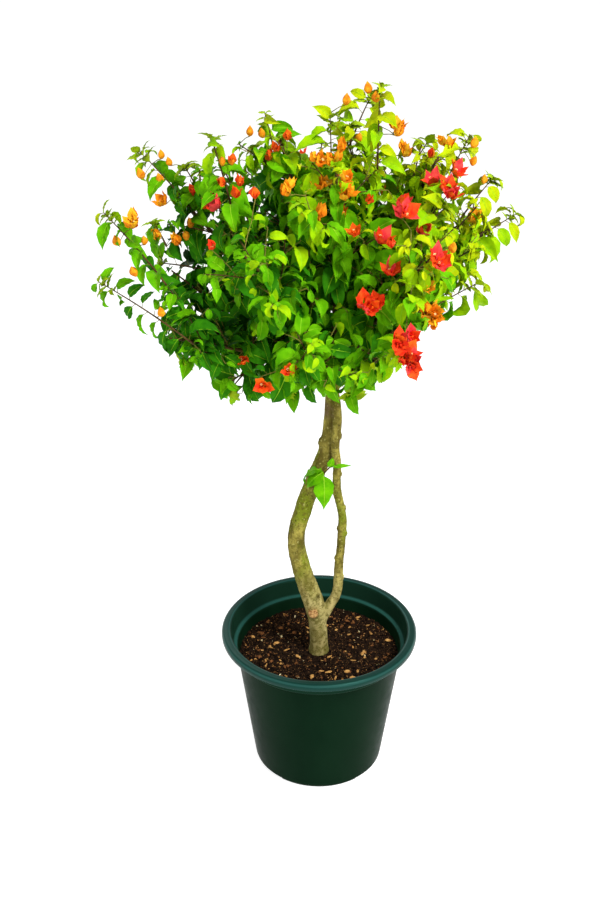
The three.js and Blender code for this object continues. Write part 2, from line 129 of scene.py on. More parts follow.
# ---------------------------------------------------------------- sizes of the finer growth
# Fine twigs leave the shoots, wide and long at a shoot's foot, narrow and short near its tip.
FINE_TWIGS = {
    "spacing": 23, "spread": (66, 42), "lengths": (58, 24), "shortest": 12, "lift": 0.2, "radii": (1.1, 0.55),
}
WHIP = {"root_radius": 1.5, "tip_radius": 0.6, "bow": 0.04}
LEAF_LENGTH = (42, 26)  # deep in the crown and at its outline
LEAF_SPACING = 11.5
TIP_LEAVES = {"shoot": (5, 12), "whip": (9, 20)}  # how many end a shoot, and how long they are

# The dense crown's outline in the photograph's pixels. Only whips stand out of it.
CROWN_SEEN = [
    (496, 245), (480, 272), (438, 308), (408, 332), (404, 354), (394, 376), (376, 388), (370, 405),
    (236, 410), (172, 376), (163, 315), (163, 250), (172, 203), (206, 159), (256, 134), (290, 138),
    (297, 157), (312, 159), (319, 142), (330, 138), (372, 148), (428, 138), (468, 168), (478, 198),
]
# The whips that the photograph shows: the pixel of the tip, and of the place where it leaves the crown.
WHIPS_SEEN = [
    (140, 152, 196, 214), (104, 213, 167, 289), (99, 282, 193, 342), (154, 223, 174, 246),
    (211, 137, 238, 206), (265, 113, 277, 191), (254, 147, 268, 178), (330, 113, 330, 213),
    (380, 83, 380, 172), (371, 96, 343, 150), (428, 141, 394, 200), (470, 135, 405, 284),
    (494, 177, 456, 216), (516, 214, 462, 248), (482, 281, 370, 346), (158, 263, 186, 258),
    (452, 190, 428, 226), (352, 397, 349, 366), (229, 392, 242, 366), (184, 362, 204, 346),
    (284, 388, 290, 366), (350, 125, 352, 150), (184, 166, 204, 200), (460, 224, 434, 242),
    (447, 207, 424, 228),
]

# Where the photograph shows blossom, in its pixels. Each grows from the nearest twig there.
BLOOMS_SEEN = {
    "scarlet": [
        (371, 309), (364, 302), (400, 339), (405, 359), (404, 203), (392, 268), (438, 255), (459, 170),
        (213, 203), (382, 237), (453, 192),
    ],
    "crimson": [
        (377, 303), (412, 337), (413, 360), (401, 210), (424, 229), (442, 262), (432, 178), (448, 186),
    ],
    "ember": [
        (206, 180), (221, 182), (236, 193), (232, 159), (255, 189), (269, 156), (287, 135), (370, 199),
        (205, 205), (391, 243), (431, 152), (211, 245), (445, 187), (277, 148), (193, 191), (240, 181),
    ],
    "flame": [(243, 360), (289, 370), (263, 386), (354, 231)],
    "orange": [
        (319, 184), (347, 177), (344, 194), (341, 212), (316, 219), (341, 146), (330, 160),
        (407, 151), (449, 144), (473, 217), (428, 287), (428, 312), (161, 200), (132, 222), (176, 240),
        (285, 190), (320, 157), (156, 235), (399, 130), (437, 318),
    ],
    "bud": [
        (346, 100), (368, 88), (376, 97), (359, 138), (432, 153), (474, 161), (484, 179), (161, 154),
        (169, 161), (141, 174), (160, 179), (117, 241), (134, 272), (190, 223), (161, 312), (250, 131),
        (262, 133), (232, 160), (222, 161), (144, 240), (399, 131), (474, 143), (186, 236), (453, 248),
    ],
}
UNSEEN_BLOOM_SHARE = 0.13  # of the twig tips at the sides and back
# How many pixels a metre of depth counts for, and from which depth, where the nearest twig is sought.
DEPTH_COST = {"whip": (60, 1.5), "bud": (90, 1.4), "bloom": (170, 1.4)}
SEEDS = {
    "mass": 1000, "shoot": 20, "bough": 900, "seen_bloom": 9000, "unseen_bloom": 20000, "whip": 30000,
    "whip_tip": 31000,
}

# ---------------------------------------------------------------- colours
PALETTE = {
    # The leaf greens from leaf_shade to leaf_lime are partly painted shade inside the crown and painted light
    # on its top and right, partly the real yellow-green of young leaves.
    "leaf_shade": ((0.005, 0.05, 0.002), (0.01, 0.095, 0.003)),
    "leaf_deep": ((0.016, 0.13, 0.003), (0.036, 0.215, 0.004)),
    "leaf_mid": ((0.07, 0.29, 0.002), (0.13, 0.41, 0.003)),
    "leaf_fresh": ((0.19, 0.42, 0.002), (0.31, 0.52, 0.003)),
    "leaf_lime": ((0.32, 0.45, 0.002), (0.47, 0.54, 0.005)),
    "leaf_tip": ((0.21, 0.35, 0.006), (0.36, 0.5, 0.012)),
    "leaf_rib": ((0.2, 0.46, 0.015), (0.32, 0.56, 0.025)),
    "scarlet": ((0.78, 0.03, 0.012), (0.86, 0.11, 0.014)),
    "crimson": ((0.78, 0.035, 0.05), (0.85, 0.09, 0.07)),
    "vermilion": ((0.78, 0.07, 0.008), (0.86, 0.17, 0.01)),
    "orange": ((0.8, 0.2, 0.006), (0.87, 0.34, 0.01)),
    "amber": ((0.8, 0.33, 0.01), (0.86, 0.47, 0.02)),
    "bud": ((0.56, 0.15, 0.006), (0.82, 0.34, 0.012)),
    "star": ((0.85, 0.72, 0.18), (0.9, 0.84, 0.42)),
    "young_stem": ((0.11, 0.14, 0.018), (0.23, 0.2, 0.035)),
    "old_stem": ((0.045, 0.027, 0.01), (0.105, 0.064, 0.018)),
    "chip_tan": ((0.42, 0.19, 0.05), (0.68, 0.38, 0.12)),
    "chip_rust": ((0.1, 0.038, 0.014), (0.26, 0.105, 0.035)),
    "chip_pale": ((0.64, 0.48, 0.2), (0.82, 0.7, 0.42)),
    "crumb": ((0.003, 0.002, 0.001), (0.03, 0.016, 0.009)),
    "cut_wood": ((0.18, 0.07, 0.02), (0.6, 0.36, 0.13)),
}
LEAF_GLOSS = (0.65, 1, 0.15)


# ---------------------------------------------------------------- chance and directions
def seeded(seed):
    """A small seeded generator, the source's own, so that the plant grows the same way every time."""
    state = (seed * 2654435761 + 12345) % 2**32

    def random(low=0.0, high=1.0):
        nonlocal state
        state = (state * 1664525 + 1013904223) % 2**32
        return low + (high - low) * state / 2**32

    return random


def direction(bearing, rise):
    b, r = math.radians(bearing), math.radians(rise)
    return Vector((math.cos(r) * math.cos(b), math.cos(r) * math.sin(b), math.sin(r)))


def lerp(a, b, t):
    return a + (b - a) * t


def square_to(axis, angle):
    """A unit vector square to axis, turned round it by angle from the one that points most upward."""
    reference = Vector((1, 0, 0)) if abs(axis.z) > 0.95 else UP
    first = (reference - axis * reference.dot(axis)).normalized()
    return Quaternion(axis, angle) @ first


def made_square(facing, heading):
    """The unit vector square to heading that is nearest to facing."""
    return (facing - heading * facing.dot(heading)).normalized()


# ---------------------------------------------------------------- camera and light
CAMERA = {
    "location": Vector((-0.0293, -1.536, 1.296)), "pitch": math.radians(26.37), "lens": 48, "sensor": 36,
}
PHOTO = (600, 900)
FOCAL_PIXELS = CAMERA["lens"] / CAMERA["sensor"] * PHOTO[1]
FORWARD = Vector((0, math.cos(CAMERA["pitch"]), -math.sin(CAMERA["pitch"])))
UPWARD = Vector((0, math.sin(CAMERA["pitch"]), math.cos(CAMERA["pitch"])))
# name: (location, width, power) of the soft lights, which all look at LIT_POINT.
LIGHTS = {
    "key": ((1.2, -1.3, 2.6), 0.8, 76),
    "fill": ((-1.8, -1.2, 1.6), 1.6, 12),
    "front": ((1.0, -1.9, 0.7), 1.4, 9),
    "back": ((-0.9, 2.1, 2.2), 1.4, 14),
}
LIT_POINT = Vector((0, 0, 0.6))
# How strong the sky is by the sine of the height above the horizon.
SKY = {"From Min": 0.16, "From Max": 0.45, "To Min": 1.0, "To Max": 0.4}
FLOOR = {"half_width": 20000, "drop": 0.5, "grey": 0.5, "glow": 0.8}


def seen_at(point):
    """Where the photograph shows a point given in millimetres: (u, v) in pixels, and its depth in metres."""
    away = point * MM - CAMERA["location"]
    depth = away.dot(FORWARD)
    u = PHOTO[0] / 2 + FOCAL_PIXELS * away.x / depth
    v = PHOTO[1] / 2 - FOCAL_PIXELS * away.dot(UPWARD) / depth
    return u, v, depth


def point_behind(u, v, depth):
    """The point in millimetres that a pixel of the photograph shows at a depth in metres."""
    across = (u - PHOTO[0] / 2) / FOCAL_PIXELS
    above = (PHOTO[1] / 2 - v) / FOCAL_PIXELS
    return (CAMERA["location"] + (FORWARD + Vector((across, 0, 0)) + UPWARD * above) * depth) / MM


def added(name, data):
    """A new object of the scene."""
    made = bpy.data.objects.new(name, data)
    bpy.context.scene.collection.objects.link(made)
    return made


def add_camera():
    camera = added("camera", bpy.data.cameras.new("camera"))
    camera.data.lens = CAMERA["lens"]
    camera.data.sensor_width = CAMERA["sensor"]
    camera.location = CAMERA["location"]
    camera.rotation_euler = (math.pi / 2 - CAMERA["pitch"], 0, 0)
    bpy.context.scene.camera = camera


def add_lights():
    for name, (location, width, power) in LIGHTS.items():
        light = added(name, bpy.data.lights.new(name, "AREA"))
        light.data.size = width
        light.data.energy = power
        light.location = location
        light.rotation_euler = (LIT_POINT - Vector(location)).to_track_quat("-Z", "Y").to_euler()


def add_sky():
    """White down at the horizon, where other views look past the floor, and dimmer above."""
    world = bpy.data.worlds.new("studio")
    world.use_nodes = True
    bpy.context.scene.world = world
    tree = world.node_tree
    place = tree.nodes.new("ShaderNodeTexCoord")
    split = tree.nodes.new("ShaderNodeSeparateXYZ")
    falling = tree.nodes.new("ShaderNodeMapRange")
    for key, value in SKY.items():
        falling.inputs[key].default_value = value
    tree.links.new(place.outputs["Generated"], split.inputs["Vector"])
    tree.links.new(split.outputs["Z"], falling.inputs["Value"])
    tree.links.new(falling.outputs["Result"], tree.nodes["Background"].inputs["Strength"])
    tree.nodes["Background"].inputs["Color"].default_value = (1, 1, 1, 1)


def add_floor():
    """A pale floor that glows enough to look white."""
    a = FLOOR["half_width"]
    floor = mesh_object("floor", [(-a, -a, 0), (a, -a, 0), (a, a, 0), (-a, a, 0)], [(0, 1, 2, 3)])
    floor.location.z = -FLOOR["drop"] * MM
    pale = plain_material("floor", (FLOOR["grey"],) * 3, 0.9)
    shader = pale.node_tree.nodes["Principled BSDF"]
    shader.inputs["Emission Color"].default_value = (1, 1, 1, 1)
    shader.inputs["Emission Strength"].default_value = FLOOR["glow"]
    floor.data.materials.append(pale)
    floor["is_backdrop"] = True


def add_studio():
    bpy.context.scene.view_settings.view_transform = "Standard"
    add_camera()
    add_sky()
    add_lights()
    add_floor()


# ---------------------------------------------------------------- materials
def plain_material(name, colour, roughness):
    made = bpy.data.materials.new(name)
    made.use_nodes = True
    shader = made.node_tree.nodes["Principled BSDF"]
    shader.inputs["Base Color"].default_value = (*colour, 1)
    shader.inputs["Roughness"].default_value = roughness
    return made


class Surface:
    """A material in the making: a Principled shader and short calls for the nodes that feed it."""

    def __init__(self, name, specular, gloss=(1, 1, 1)):
        self.material = plain_material(name, (0.5, 0.5, 0.5), 0.5)
        self.tree = self.material.node_tree
        self.shader = self.tree.nodes["Principled BSDF"]
        self.set("Specular IOR Level", specular)
        self.set("Specular Tint", gloss)
        self.place = self.node("TexCoord", {}, "Object")

    def set(self, key, source):
        """Feeds one of the shader's own sockets."""
        self.feed(self.shader.inputs[key], source)

    def feed(self, socket, source):
        """Links a node's output to a socket, or sets a number, a place or a colour on it."""
        if isinstance(source, bpy.types.NodeSocket):
            self.tree.links.new(source, socket)
        elif isinstance(source, tuple):
            socket.default_value = (*source, 1)[:len(socket.default_value)]
        else:
            socket.default_value = source

    def node(self, kind, sources, output, **settings):
        """One output of a new node that is fed by the sources, by its inputs' names or numbers."""
        made = self.tree.nodes.new("ShaderNode" + kind)
        for key, value in settings.items():
            setattr(made, key, value)
        for key, source in sources.items():
            self.feed(made.inputs[key], source)
        return made.outputs[output]

    def stretched(self, stretch):
        """The place in the row's frame, in metres, with its axes scaled."""
        return self.node("Mapping", {"Scale": stretch, "Vector": self.place}, "Vector")

    def noise(self, grain, detail=3.0, stretch=(1, 1, 1)):
        """Noise with features about grain millimetres across."""
        sources = {"Scale": 1000 / grain, "Detail": detail, "Vector": self.stretched(stretch)}
        return self.node("TexNoise", sources, "Fac")

    def ranged(self, source, low, high, to_low=0.0, to_high=1.0):
        sources = {"Value": source, "From Min": low, "From Max": high, "To Min": to_low, "To Max": to_high}
        return self.node("MapRange", sources, "Result")

    def patches(self, grain, low, high, strength=1.0, detail=3.0, stretch=(1, 1, 1)):
        """Soft patches: 0 where the noise is under low, and strength where it is over high."""
        return self.ranged(self.noise(grain, detail, stretch), low, high, 0, strength)

    def wandering(self, grain, low, high, detail=3.0):
        """A value that wanders between low and high."""
        return self.ranged(self.noise(grain, detail), 0.3, 0.7, low, high)

    def height(self):
        """The height above the ground, in metres."""
        return self.node("SeparateXYZ", {"Vector": self.place}, "Z")

    def from_axis(self):
        """The distance to the pot's axis, in metres."""
        return self.node("VectorMath", {0: self.stretched((1, 1, 0))}, "Value", operation="LENGTH")

    def near(self, point, inner, outer):
        """1 within inner of a point given in millimetres, and 0 beyond outer."""
        distance = self.node("VectorMath", {0: self.place, 1: point * MM}, "Value", operation="DISTANCE")
        return self.ranged(distance, outer * MM, inner * MM)

    def maths(self, operation, *values):
        return self.node("Math", dict(enumerate(values)), "Value", operation=operation)

    def band(self, source, middle, half_width):
        """1 where a value is at the middle, and 0 from half a width away."""
        distance = self.maths("ABSOLUTE", self.maths("SUBTRACT", source, middle))
        return self.ranged(distance, half_width, half_width * 0.4)

    def layered(self, colour, *layers):
        """A colour with others laid over it in turn, each given as (how far, colour)."""
        for factor, over in layers:
            colour = self.node("Mix", {0: factor, 6: colour, 7: over}, 2, data_type="RGBA")
        return colour

    def finished(self, colour, roughness, relief, depth):
        """The material with its colour, its roughness and a relief about depth millimetres deep."""
        self.set("Base Color", colour)
        self.set("Roughness", roughness)
        self.set("Normal", self.node("Bump", {"Distance": depth * MM, "Height": relief}, "Normal"))
        return self.material


def speckled(name, grain=9, roughness=(0.42, 0.58), relief=0.15, specular=0.05, gloss=(1, 1, 1)):
    """Two shades of one colour in soft patches, with a fine relief."""
    surface = Surface(name, specular, gloss)
    dark, light = PALETTE[name]
    colour = surface.layered(dark, (surface.patches(grain, 0.35, 0.65), light))
    matt = surface.wandering(grain * 1.7, *roughness)
    return surface.finished(colour, matt, surface.noise(grain / 5), relief)


def pot_material():
    """Moulded green plastic: satin and a little cloudy, with painted teal reflection on the rim and painted
    highlights on its edges and the ledge.
    """
    surface = Surface("pot_plastic", 0.2, (0.3, 0.85, 0.7))
    height, from_axis = surface.height(), surface.from_axis()

    def both(a, b):
        return surface.maths("MULTIPLY", a, b)

    cloud = surface.patches(70, 0.3, 0.7, stretch=(1, 1, 0.4))
    inside = both(surface.ranged(height, 0.2, 0.206), surface.ranged(from_axis, 0.1362, 0.135))
    # Painted reflection: the rim is painted more teal, as the sky's reflection on it.
    rim = both(surface.ranged(height, 0.2165, 0.2225), surface.ranged(from_axis, 0.1355, 0.1375))
    # Painted highlights: thin lighter lines along the rim's outer and inner edges.
    outer_edge_highlight = surface.band(from_axis, 0.1484, 0.0012)
    inner_edge_highlight = surface.band(from_axis, 0.1385, 0.001)
    # Painted highlight: a lighter teal line on the ledge inside the pot.
    ledge = both(surface.band(height, 0.2055, 0.0022), surface.band(from_axis, 0.1285, 0.0042))
    edge_highlight_colour = (0.015, 0.062, 0.052)
    # The body's green with cloudy patches and a lighter inner wall, then the rim's painted teal reflection
    # and painted highlights.
    colour = surface.layered(
        (0.002, 0.0118, 0.0046), (cloud, (0.0036, 0.0168, 0.007)), (inside, (0.0065, 0.027, 0.015)),
        (rim, (0.0045, 0.029, 0.022)), (both(outer_edge_highlight, rim), edge_highlight_colour),
        (both(inner_edge_highlight, rim), edge_highlight_colour), (ledge, (0.018, 0.08, 0.064)))
    surface.set("Specular IOR Level", surface.ranged(rim, 0, 1, 0.012, 0.2))
    return surface.finished(colour, surface.wandering(14, 0.28, 0.4, 5.0), surface.noise(1.6, 2.0), 0.04)


def soil_material():
    """Dark crumbly peat with light flecks."""
    surface = Surface("potting_mix", 0.03)
    colour = surface.layered(
        (0.002, 0.001, 0.001), (surface.patches(5, 0.38, 0.66, detail=5.0), (0.026, 0.014, 0.008)),
        (surface.patches(2.4, 0.63, 0.69, detail=2.0), (0.26, 0.13, 0.045)))
    return surface.finished(colour, surface.wandering(4, 0.8, 1.0), surface.noise(1.8, 4.0), 1.2)


def bark_material():
    """Olive-tan bark: grey-brown and green patches, pale and dark specks, tan at the foot."""
    surface = Surface("bark", 0.04)
    long_grain = (1, 1, 0.45)
    patches = surface.patches(15, 0.38, 0.62, 1, 4.0, long_grain)
    tan = surface.layered((0.35, 0.3, 0.06), (patches, (0.1, 0.078, 0.014)))
    beige = surface.layered((0.56, 0.46, 0.19), (patches, (0.24, 0.2, 0.06)))
    green = surface.patches(34, 0.46, 0.6, 0.9, stretch=long_grain)
    foot = surface.ranged(surface.height(), 0.345, 0.285, 0, 0.8)
    # A darker brown patch on the upper main stem, at its front left.
    brown_patch_place = MAIN.point(MAIN.at_height(598)) - Vector((10, 9, 0))
    brown_patch = surface.maths("MULTIPLY", surface.near(brown_patch_place, 9, 17), 0.85)
    colour = surface.layered(
        tan, (green, (0.15, 0.19, 0.01)), (foot, beige), (brown_patch, (0.13, 0.085, 0.04)),
        (surface.near(knot_places()[0][0], 2.5, 5.5), (0.045, 0.032, 0.014)),
        (surface.near(stub_limb()[0].tip, 9, 13), (0.33, 0.24, 0.08)),
        (surface.patches(5.5, 0.48, 0.62, 0.7, 6.0), (0.1, 0.085, 0.012)),
        (surface.patches(3.6, 0.6, 0.72, 0.6), (0.48, 0.45, 0.14)),
        (surface.patches(2.9, 0.6, 0.7, 0.9), (0.055, 0.045, 0.01)))
    relief = surface.noise(2.6, 5.0, (1, 1, 0.6))
    return surface.finished(colour, surface.wandering(6, 0.6, 0.9), relief, 1.6)


# ---------------------------------------------------------------- meshes
def mesh_object(name, vertices, faces):
    """An object from corners in millimetres."""
    mesh = bpy.data.meshes.new(name)
    mesh.from_pydata((np.asarray(vertices, dtype=float) * MM).tolist(), [], faces)
    return added(name, mesh)


def piece(name, vertices, faces, material, slot):
    """A smooth piece of the plant, riding on the root body."""
    return finished(mesh_object(name, vertices, faces), material, slot)


def finished(made, material, slot):
    made.data.materials.clear()
    made.data.materials.append(material)
    made.data.shade_smooth()
    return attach(made, "root")


def bake_modifiers(made):
    """Replaces the object's mesh by what its modifiers make of it."""
    graph = bpy.context.evaluated_depsgraph_get()
    baked = bpy.data.meshes.new_from_object(made.evaluated_get(graph))
    made.modifiers.clear()
    made.data = baked


def joined(parts):
    """One list of corners and one of faces from several (corners, faces)."""
    corners, faces, count = [], [], 0
    for part_corners, part_faces in parts:
        corners.append(np.asarray(part_corners, dtype=float))
        faces.extend(tuple(i + count for i in face) for face in part_faces)
        count += len(part_corners)
    return np.concatenate(corners), faces


def ring_faces(rings, sides):
    """The walls between rings of corners, and the faces of the two ends."""
    walls = []
    for i in range(rings - 1):
        for k in range(sides):
            a, b = i * sides + k, i * sides + (k + 1) % sides
            walls.append((a, b, b + sides, a + sides))
    return walls, [tuple(reversed(range(sides))), tuple(range((rings - 1) * sides, rings * sides))]


def spokes(first, second, sides):
    """Directions all round, from first through second."""
    angles = [2 * math.pi * k / sides for k in range(sides)]
    return [first * math.cos(angle) + second * math.sin(angle) for angle in angles]


def tube(points, radii, sides):
    """A closed tube along points. Its cross-section keeps its way up from ring to ring."""
    corners, side = [], None
    for i, (point, radius) in enumerate(zip(points, radii)):
        tangent = (points[min(i + 1, len(points) - 1)] - points[max(i - 1, 0)]).normalized()
        side = square_to(tangent, 0) if side is None else made_square(side, tangent)
        corners += [point + out * radius for out in spokes(side, tangent.cross(side), sides)]
    walls, ends = ring_faces(len(points), sides)
    return corners, walls + ends


# ---------------------------------------------------------------- limbs
def catmull_rom(points, t):
    """A point on the centripetal Catmull-Rom curve through the points, at t from 0 to 1."""
    last = len(points) - 1
    i = min(int(last * t), last - 1)
    weight = last * t - i
    before = points[i - 1] if i > 0 else points[0] * 2 - points[1]
    after = points[i + 2] if i + 2 <= last else points[last] * 2 - points[last - 1]
    a, b = points[i], points[i + 1]
    d0, d1, d2 = (math.sqrt((q - p).length) for p, q in ((before, a), (a, b), (b, after)))
    leave = ((a - before) / d0 - (b - before) / (d0 + d1) + (b - a) / d1) * d1
    arrive = ((b - a) / d1 - (after - a) / (d1 + d2) + (after - b) / d2) * d1
    cubed = a * 2 - b * 2 + leave + arrive
    squared = (b - a) * 3 - leave * 2 - arrive
    return a + leave * weight + squared * weight**2 + cubed * weight**3


class Limb:
    """A round limb. Its kinds give a point and a radius for each t from 0 to 1."""

    def tube(self, sides, rings):
        places = [i / rings for i in range(rings + 1)]
        return tube([self.point(t) for t in places], [self.radius(t) for t in places], sides)


class Stem(Limb):
    """A stem through stations of (x, y, z, radius)."""

    def __init__(self, stations):
        self.points = [Vector(s[:3]) for s in stations]
        self.radii = [s[3] for s in stations]

    def point(self, t):
        return catmull_rom(self.points, t)

    def radius(self, t):
        s = min(t * (len(self.radii) - 1), len(self.radii) - 1.0001)
        i = int(s)
        weight = s - i
        return lerp(self.radii[i], self.radii[i + 1], weight * weight * (3 - 2 * weight))

    def at_height(self, height):
        """The place along the stem where it reaches a height, as t."""
        low, high = 0.0, 1.0
        for _ in range(40):
            middle = (low + high) / 2
            if self.point(middle).z < height:
                low = middle
            else:
                high = middle
        return low


class Twig(Limb):
    """A tapering twig from root to tip, through a bend that may stand off the straight line."""

    def __init__(self, root, tip, root_radius, tip_radius, bend=None):
        self.root, self.tip = root, tip
        self.bend = (root + tip) / 2 if bend is None else bend
        self.root_radius, self.tip_radius = root_radius, tip_radius
        self.length = (tip - root).length

    def point(self, t):
        return self.root * (1 - t) ** 2 + self.bend * (2 * t * (1 - t)) + self.tip * t**2

    def tangent(self, t):
        return ((self.bend - self.root) * (1 - t) + (self.tip - self.bend) * t).normalized()

    def radius(self, t):
        return lerp(self.root_radius, self.tip_radius, t)

    def first_part(self, t):
        bend = lerp(self.root, self.bend, t)
        return Twig(self.root, self.point(t), self.root_radius, self.radius(t), bend)


def bowed_twig(root, tip, root_radius, tip_radius, bow):
    """A twig that arches upward by bow, a share of its length."""
    straight = tip - root
    lift = square_to(straight.normalized(), 0) * straight.length * bow
    return Twig(root, tip, root_radius, tip_radius, (root + tip) / 2 + lift)


# ---------------------------------------------------------------- the crown's rule
LEAST_KEPT = 0.2  # of a twig that is cut where it leaves the crown as seen
Mass = namedtuple("Mass", "name index heading reach fork_height")


def outline_distance(heading):
    """How far the crown's outline is from the hub along a heading."""
    start = [(h - c) / half for h, c, half in zip(HUB, CROWN_CENTRE, CROWN_HALF)]
    step = [d / half for d, half in zip(heading, CROWN_HALF)]
    a = sum(s * s for s in step)
    b = 2 * sum(p * q for p, q in zip(start, step))
    c = sum(s * s for s in start) - 1
    return (-b + math.sqrt(b * b - 4 * a * c)) / (2 * a)


def crown_share(point):
    """0 at the crown's centre and 1 on its outline."""
    return math.sqrt(sum(((p - c) / half) ** 2 for p, c, half in zip(point, CROWN_CENTRE, CROWN_HALF)))


def all_masses():
    masses = []
    for index, (name, (bearing, rise, stretch, fork_height)) in enumerate(MASSES.items()):
        heading = direction(bearing, rise)
        masses.append(Mass(name, index, heading, outline_distance(heading) * stretch, fork_height))
    return masses


def in_own_space(mass, point, margin=0.5):
    """A mass keeps to the cone of space that lies nearer to its heading than to any other's."""
    out = point - HUB
    others = (other for other in ALL_MASSES if other is not mass)
    return all(out.dot((other.heading - mass.heading).normalized()) < -margin for other in others)


def above_underside(point, margin=0):
    x, y = point.x - HUB.x, point.y - HUB.y
    floor = UNDERSIDE["height"] + UNDERSIDE["slope"] * math.hypot(x, y) + UNDERSIDE["tilt"] * x
    return point.z > floor + margin


def in_cad_box(point, margin=0):
    low, high = (Vector(corner) / MM for corner in CAD_BOX)
    return all(a + margin < p < b - margin for a, p, b in zip(low, point, high))


def bough(mass):
    root = MAIN.point(MAIN.at_height(mass.fork_height))
    way = mass.heading * BOUGH["reach"]
    return Twig(root, HUB + way, BOUGH["root_radius"], BOUGH["tip_radius"], HUB + way / 2)


def long_shoots(mass):
    """The leading shoot goes on from the bough to the mass's furthest tip, and others fork off it."""
    start = HUB + mass.heading * (BOUGH["reach"] - 3)
    tip = HUB + mass.heading * mass.reach
    shoots = [bowed_twig(start, tip, BOUGH["tip_radius"], SHOOT["leader_tip"], 0.05)]
    fork = shoots[0].point(0.08)
    for name, bearing, rise, stretch in LONG_SHOOTS:
        if name == mass.name:
            heading = direction(bearing, rise)
            tip = HUB + heading * outline_distance(heading) * stretch
            radius = SHOOT["fork"] * BOUGH["tip_radius"]
            shoots.append(bowed_twig(fork, tip, radius, SHOOT["tip_radius"], 0.05))
    return shoots


def branching(along, turn, spread, share, extra, lift):
    """The heading of a branch, whose angle narrows over the spread and which lifts a little."""
    angle = math.radians(lerp(*spread, share) + extra)
    return (along * math.cos(angle) + square_to(along, turn) * math.sin(angle) + UP * lift).normalized()


def fitted(start, heading, length, shortest, step, fits):
    """The branch's tip, drawn in step by step until it fits or the branch is too short."""
    while length > shortest and not fits(start + heading * length):
        length *= step
    return start + heading * length


def side_shoots(mass, leader):
    """Side shoots leave the leader all round, the lowest ones widest, in the mass's own space."""
    def fits(tip):
        return in_own_space(mass, tip, 6) and above_underside(tip, 15)

    shoots = []
    shortest, longest = SIDE_SHOOTS["lengths"]
    count = max(SIDE_SHOOTS["fewest"], round((mass.reach - BOUGH["reach"]) / SIDE_SHOOTS["spacing"]))
    for i in range(count):
        random = seeded(100 * mass.index + i + 1)
        share = (i + 0.5) / count
        t = lerp(*SIDE_SHOOTS["stretch"], share)
        turn = i * GOLDEN_ANGLE + mass.index + random(-0.3, 0.3)
        heading = branching(mass.heading, turn, SIDE_SHOOTS["spread"], share, random(-8, 8), SHOOT["lift"])
        start = leader.point(t)
        length = longest * random(0.8, 1.1)
        tip = fitted(start, heading, length, shortest, 0.9, lambda tip: fits(tip) and crown_share(tip) < 1)
        if fits(tip):
            radius = SHOOT["fork"] * leader.radius(t)
            shoots.append(bowed_twig(start, tip, radius, SHOOT["tip_radius"], 0.06))
    return shoots


def fine_twigs(mass, shoot, seed, first, last):
    """The next order of twigs, round a shoot by the golden angle, within the mass's own space."""
    def fits(tip):
        return in_own_space(mass, tip, -6) and above_underside(tip, 8) and in_cad_box(tip, 16)

    random = seeded(seed)
    count = round(shoot.length * (last - first) / FINE_TWIGS["spacing"])
    twigs = []
    for i in range(count):
        share = (i + random(0.2, 0.8)) / count
        t = lerp(first, last, share)
        turn = i * GOLDEN_ANGLE + seed
        along, extra = shoot.tangent(t), random(-10, 10)
        heading = branching(along, turn, FINE_TWIGS["spread"], share, extra, FINE_TWIGS["lift"])
        start = shoot.point(t)
        length = lerp(*FINE_TWIGS["lengths"], share) * random(0.75, 1.15)
        tip = fitted(start, heading, length, FINE_TWIGS["shortest"], 0.8, fits)
        if (tip - start).length > FINE_TWIGS["shortest"]:
            thickest, thinnest = FINE_TWIGS["radii"]
            twigs.append(bowed_twig(start, tip, min(thickest, shoot.radius(t)), thinnest, 0.07))
    return twigs


def seen_in_crown(point):
    """Whether the photograph shows a point inside the dense crown's outline."""
    u, v, _ = seen_at(point)
    inside = False
    for (u0, v0), (u1, v1) in zip(CROWN_SEEN, CROWN_SEEN[1:] + CROWN_SEEN[:1]):
        if (v0 > v) != (v1 > v) and u < u0 + (u1 - u0) * (v - v0) / (v1 - v0):
            inside = not inside
    return inside


def cut_to_crown(twig):
    """The twig up to where it leaves the dense crown's outline, or None if it never comes inside."""
    t = 1.0
    while t > LEAST_KEPT and not seen_in_crown(twig.point(t)):
        t -= 0.05
    if t == 1.0:
        return twig
    return twig.first_part(t) if t > LEAST_KEPT else None


def nearest_seen(seen_nodes, u, v, cost_of_depth):
    """The node that the photograph shows nearest to a pixel, and not far behind. Returns (depth, node)."""
    def cost(entry):
        (x, y, depth), _ = entry
        weight, free = cost_of_depth
        return math.hypot(x - u, y - v) + weight * max(0, depth - free)

    (_, _, depth), node = min(seen_nodes, key=cost)
    return depth, node


def whips(nodes):
    """The slender shoots that stand out of the crown, each from the twig nearest to its foot as seen."""
    seen_nodes = [(seen_at(node), node) for node in nodes]
    grown = []
    for tip_u, tip_v, foot_u, foot_v in WHIPS_SEEN:
        depth, foot = nearest_seen(seen_nodes, foot_u, foot_v, DEPTH_COST["whip"])
        tip = point_behind(tip_u, tip_v, depth - 0.004)
        grown.append(bowed_twig(foot, tip, WHIP["root_radius"], WHIP["tip_radius"], WHIP["bow"]))
    return grown


# ---------------------------------------------------------------- blades: leaves and bracts
Blade = namedtuple("Blade", "root heading facing length width arch fold twist phase")
# A blade's half width along its length, as shares of the length. Both have eight pairs of side veins.
ROWS = np.array([0, 0.05, 0.12, 0.21, 0.31, 0.42, 0.53, 0.64, 0.74, 0.83, 0.91, 1])
LEAF_HALF = np.array([0.012, 0.105, 0.200, 0.272, 0.308, 0.305, 0.270, 0.212, 0.145, 0.082, 0.034, 0.004])
BRACT_HALF = np.array([0.030, 0.120, 0.210, 0.290, 0.345, 0.360, 0.340, 0.285, 0.210, 0.130, 0.060, 0.004])
COLUMNS = np.array([-1, -0.5, 0, 0.5, 1])
CHEVRON = 0.45  # how far the midrib's corners lie behind the edge's, by the half width there
QUILT = 0.045  # how far the blade rises between its side veins


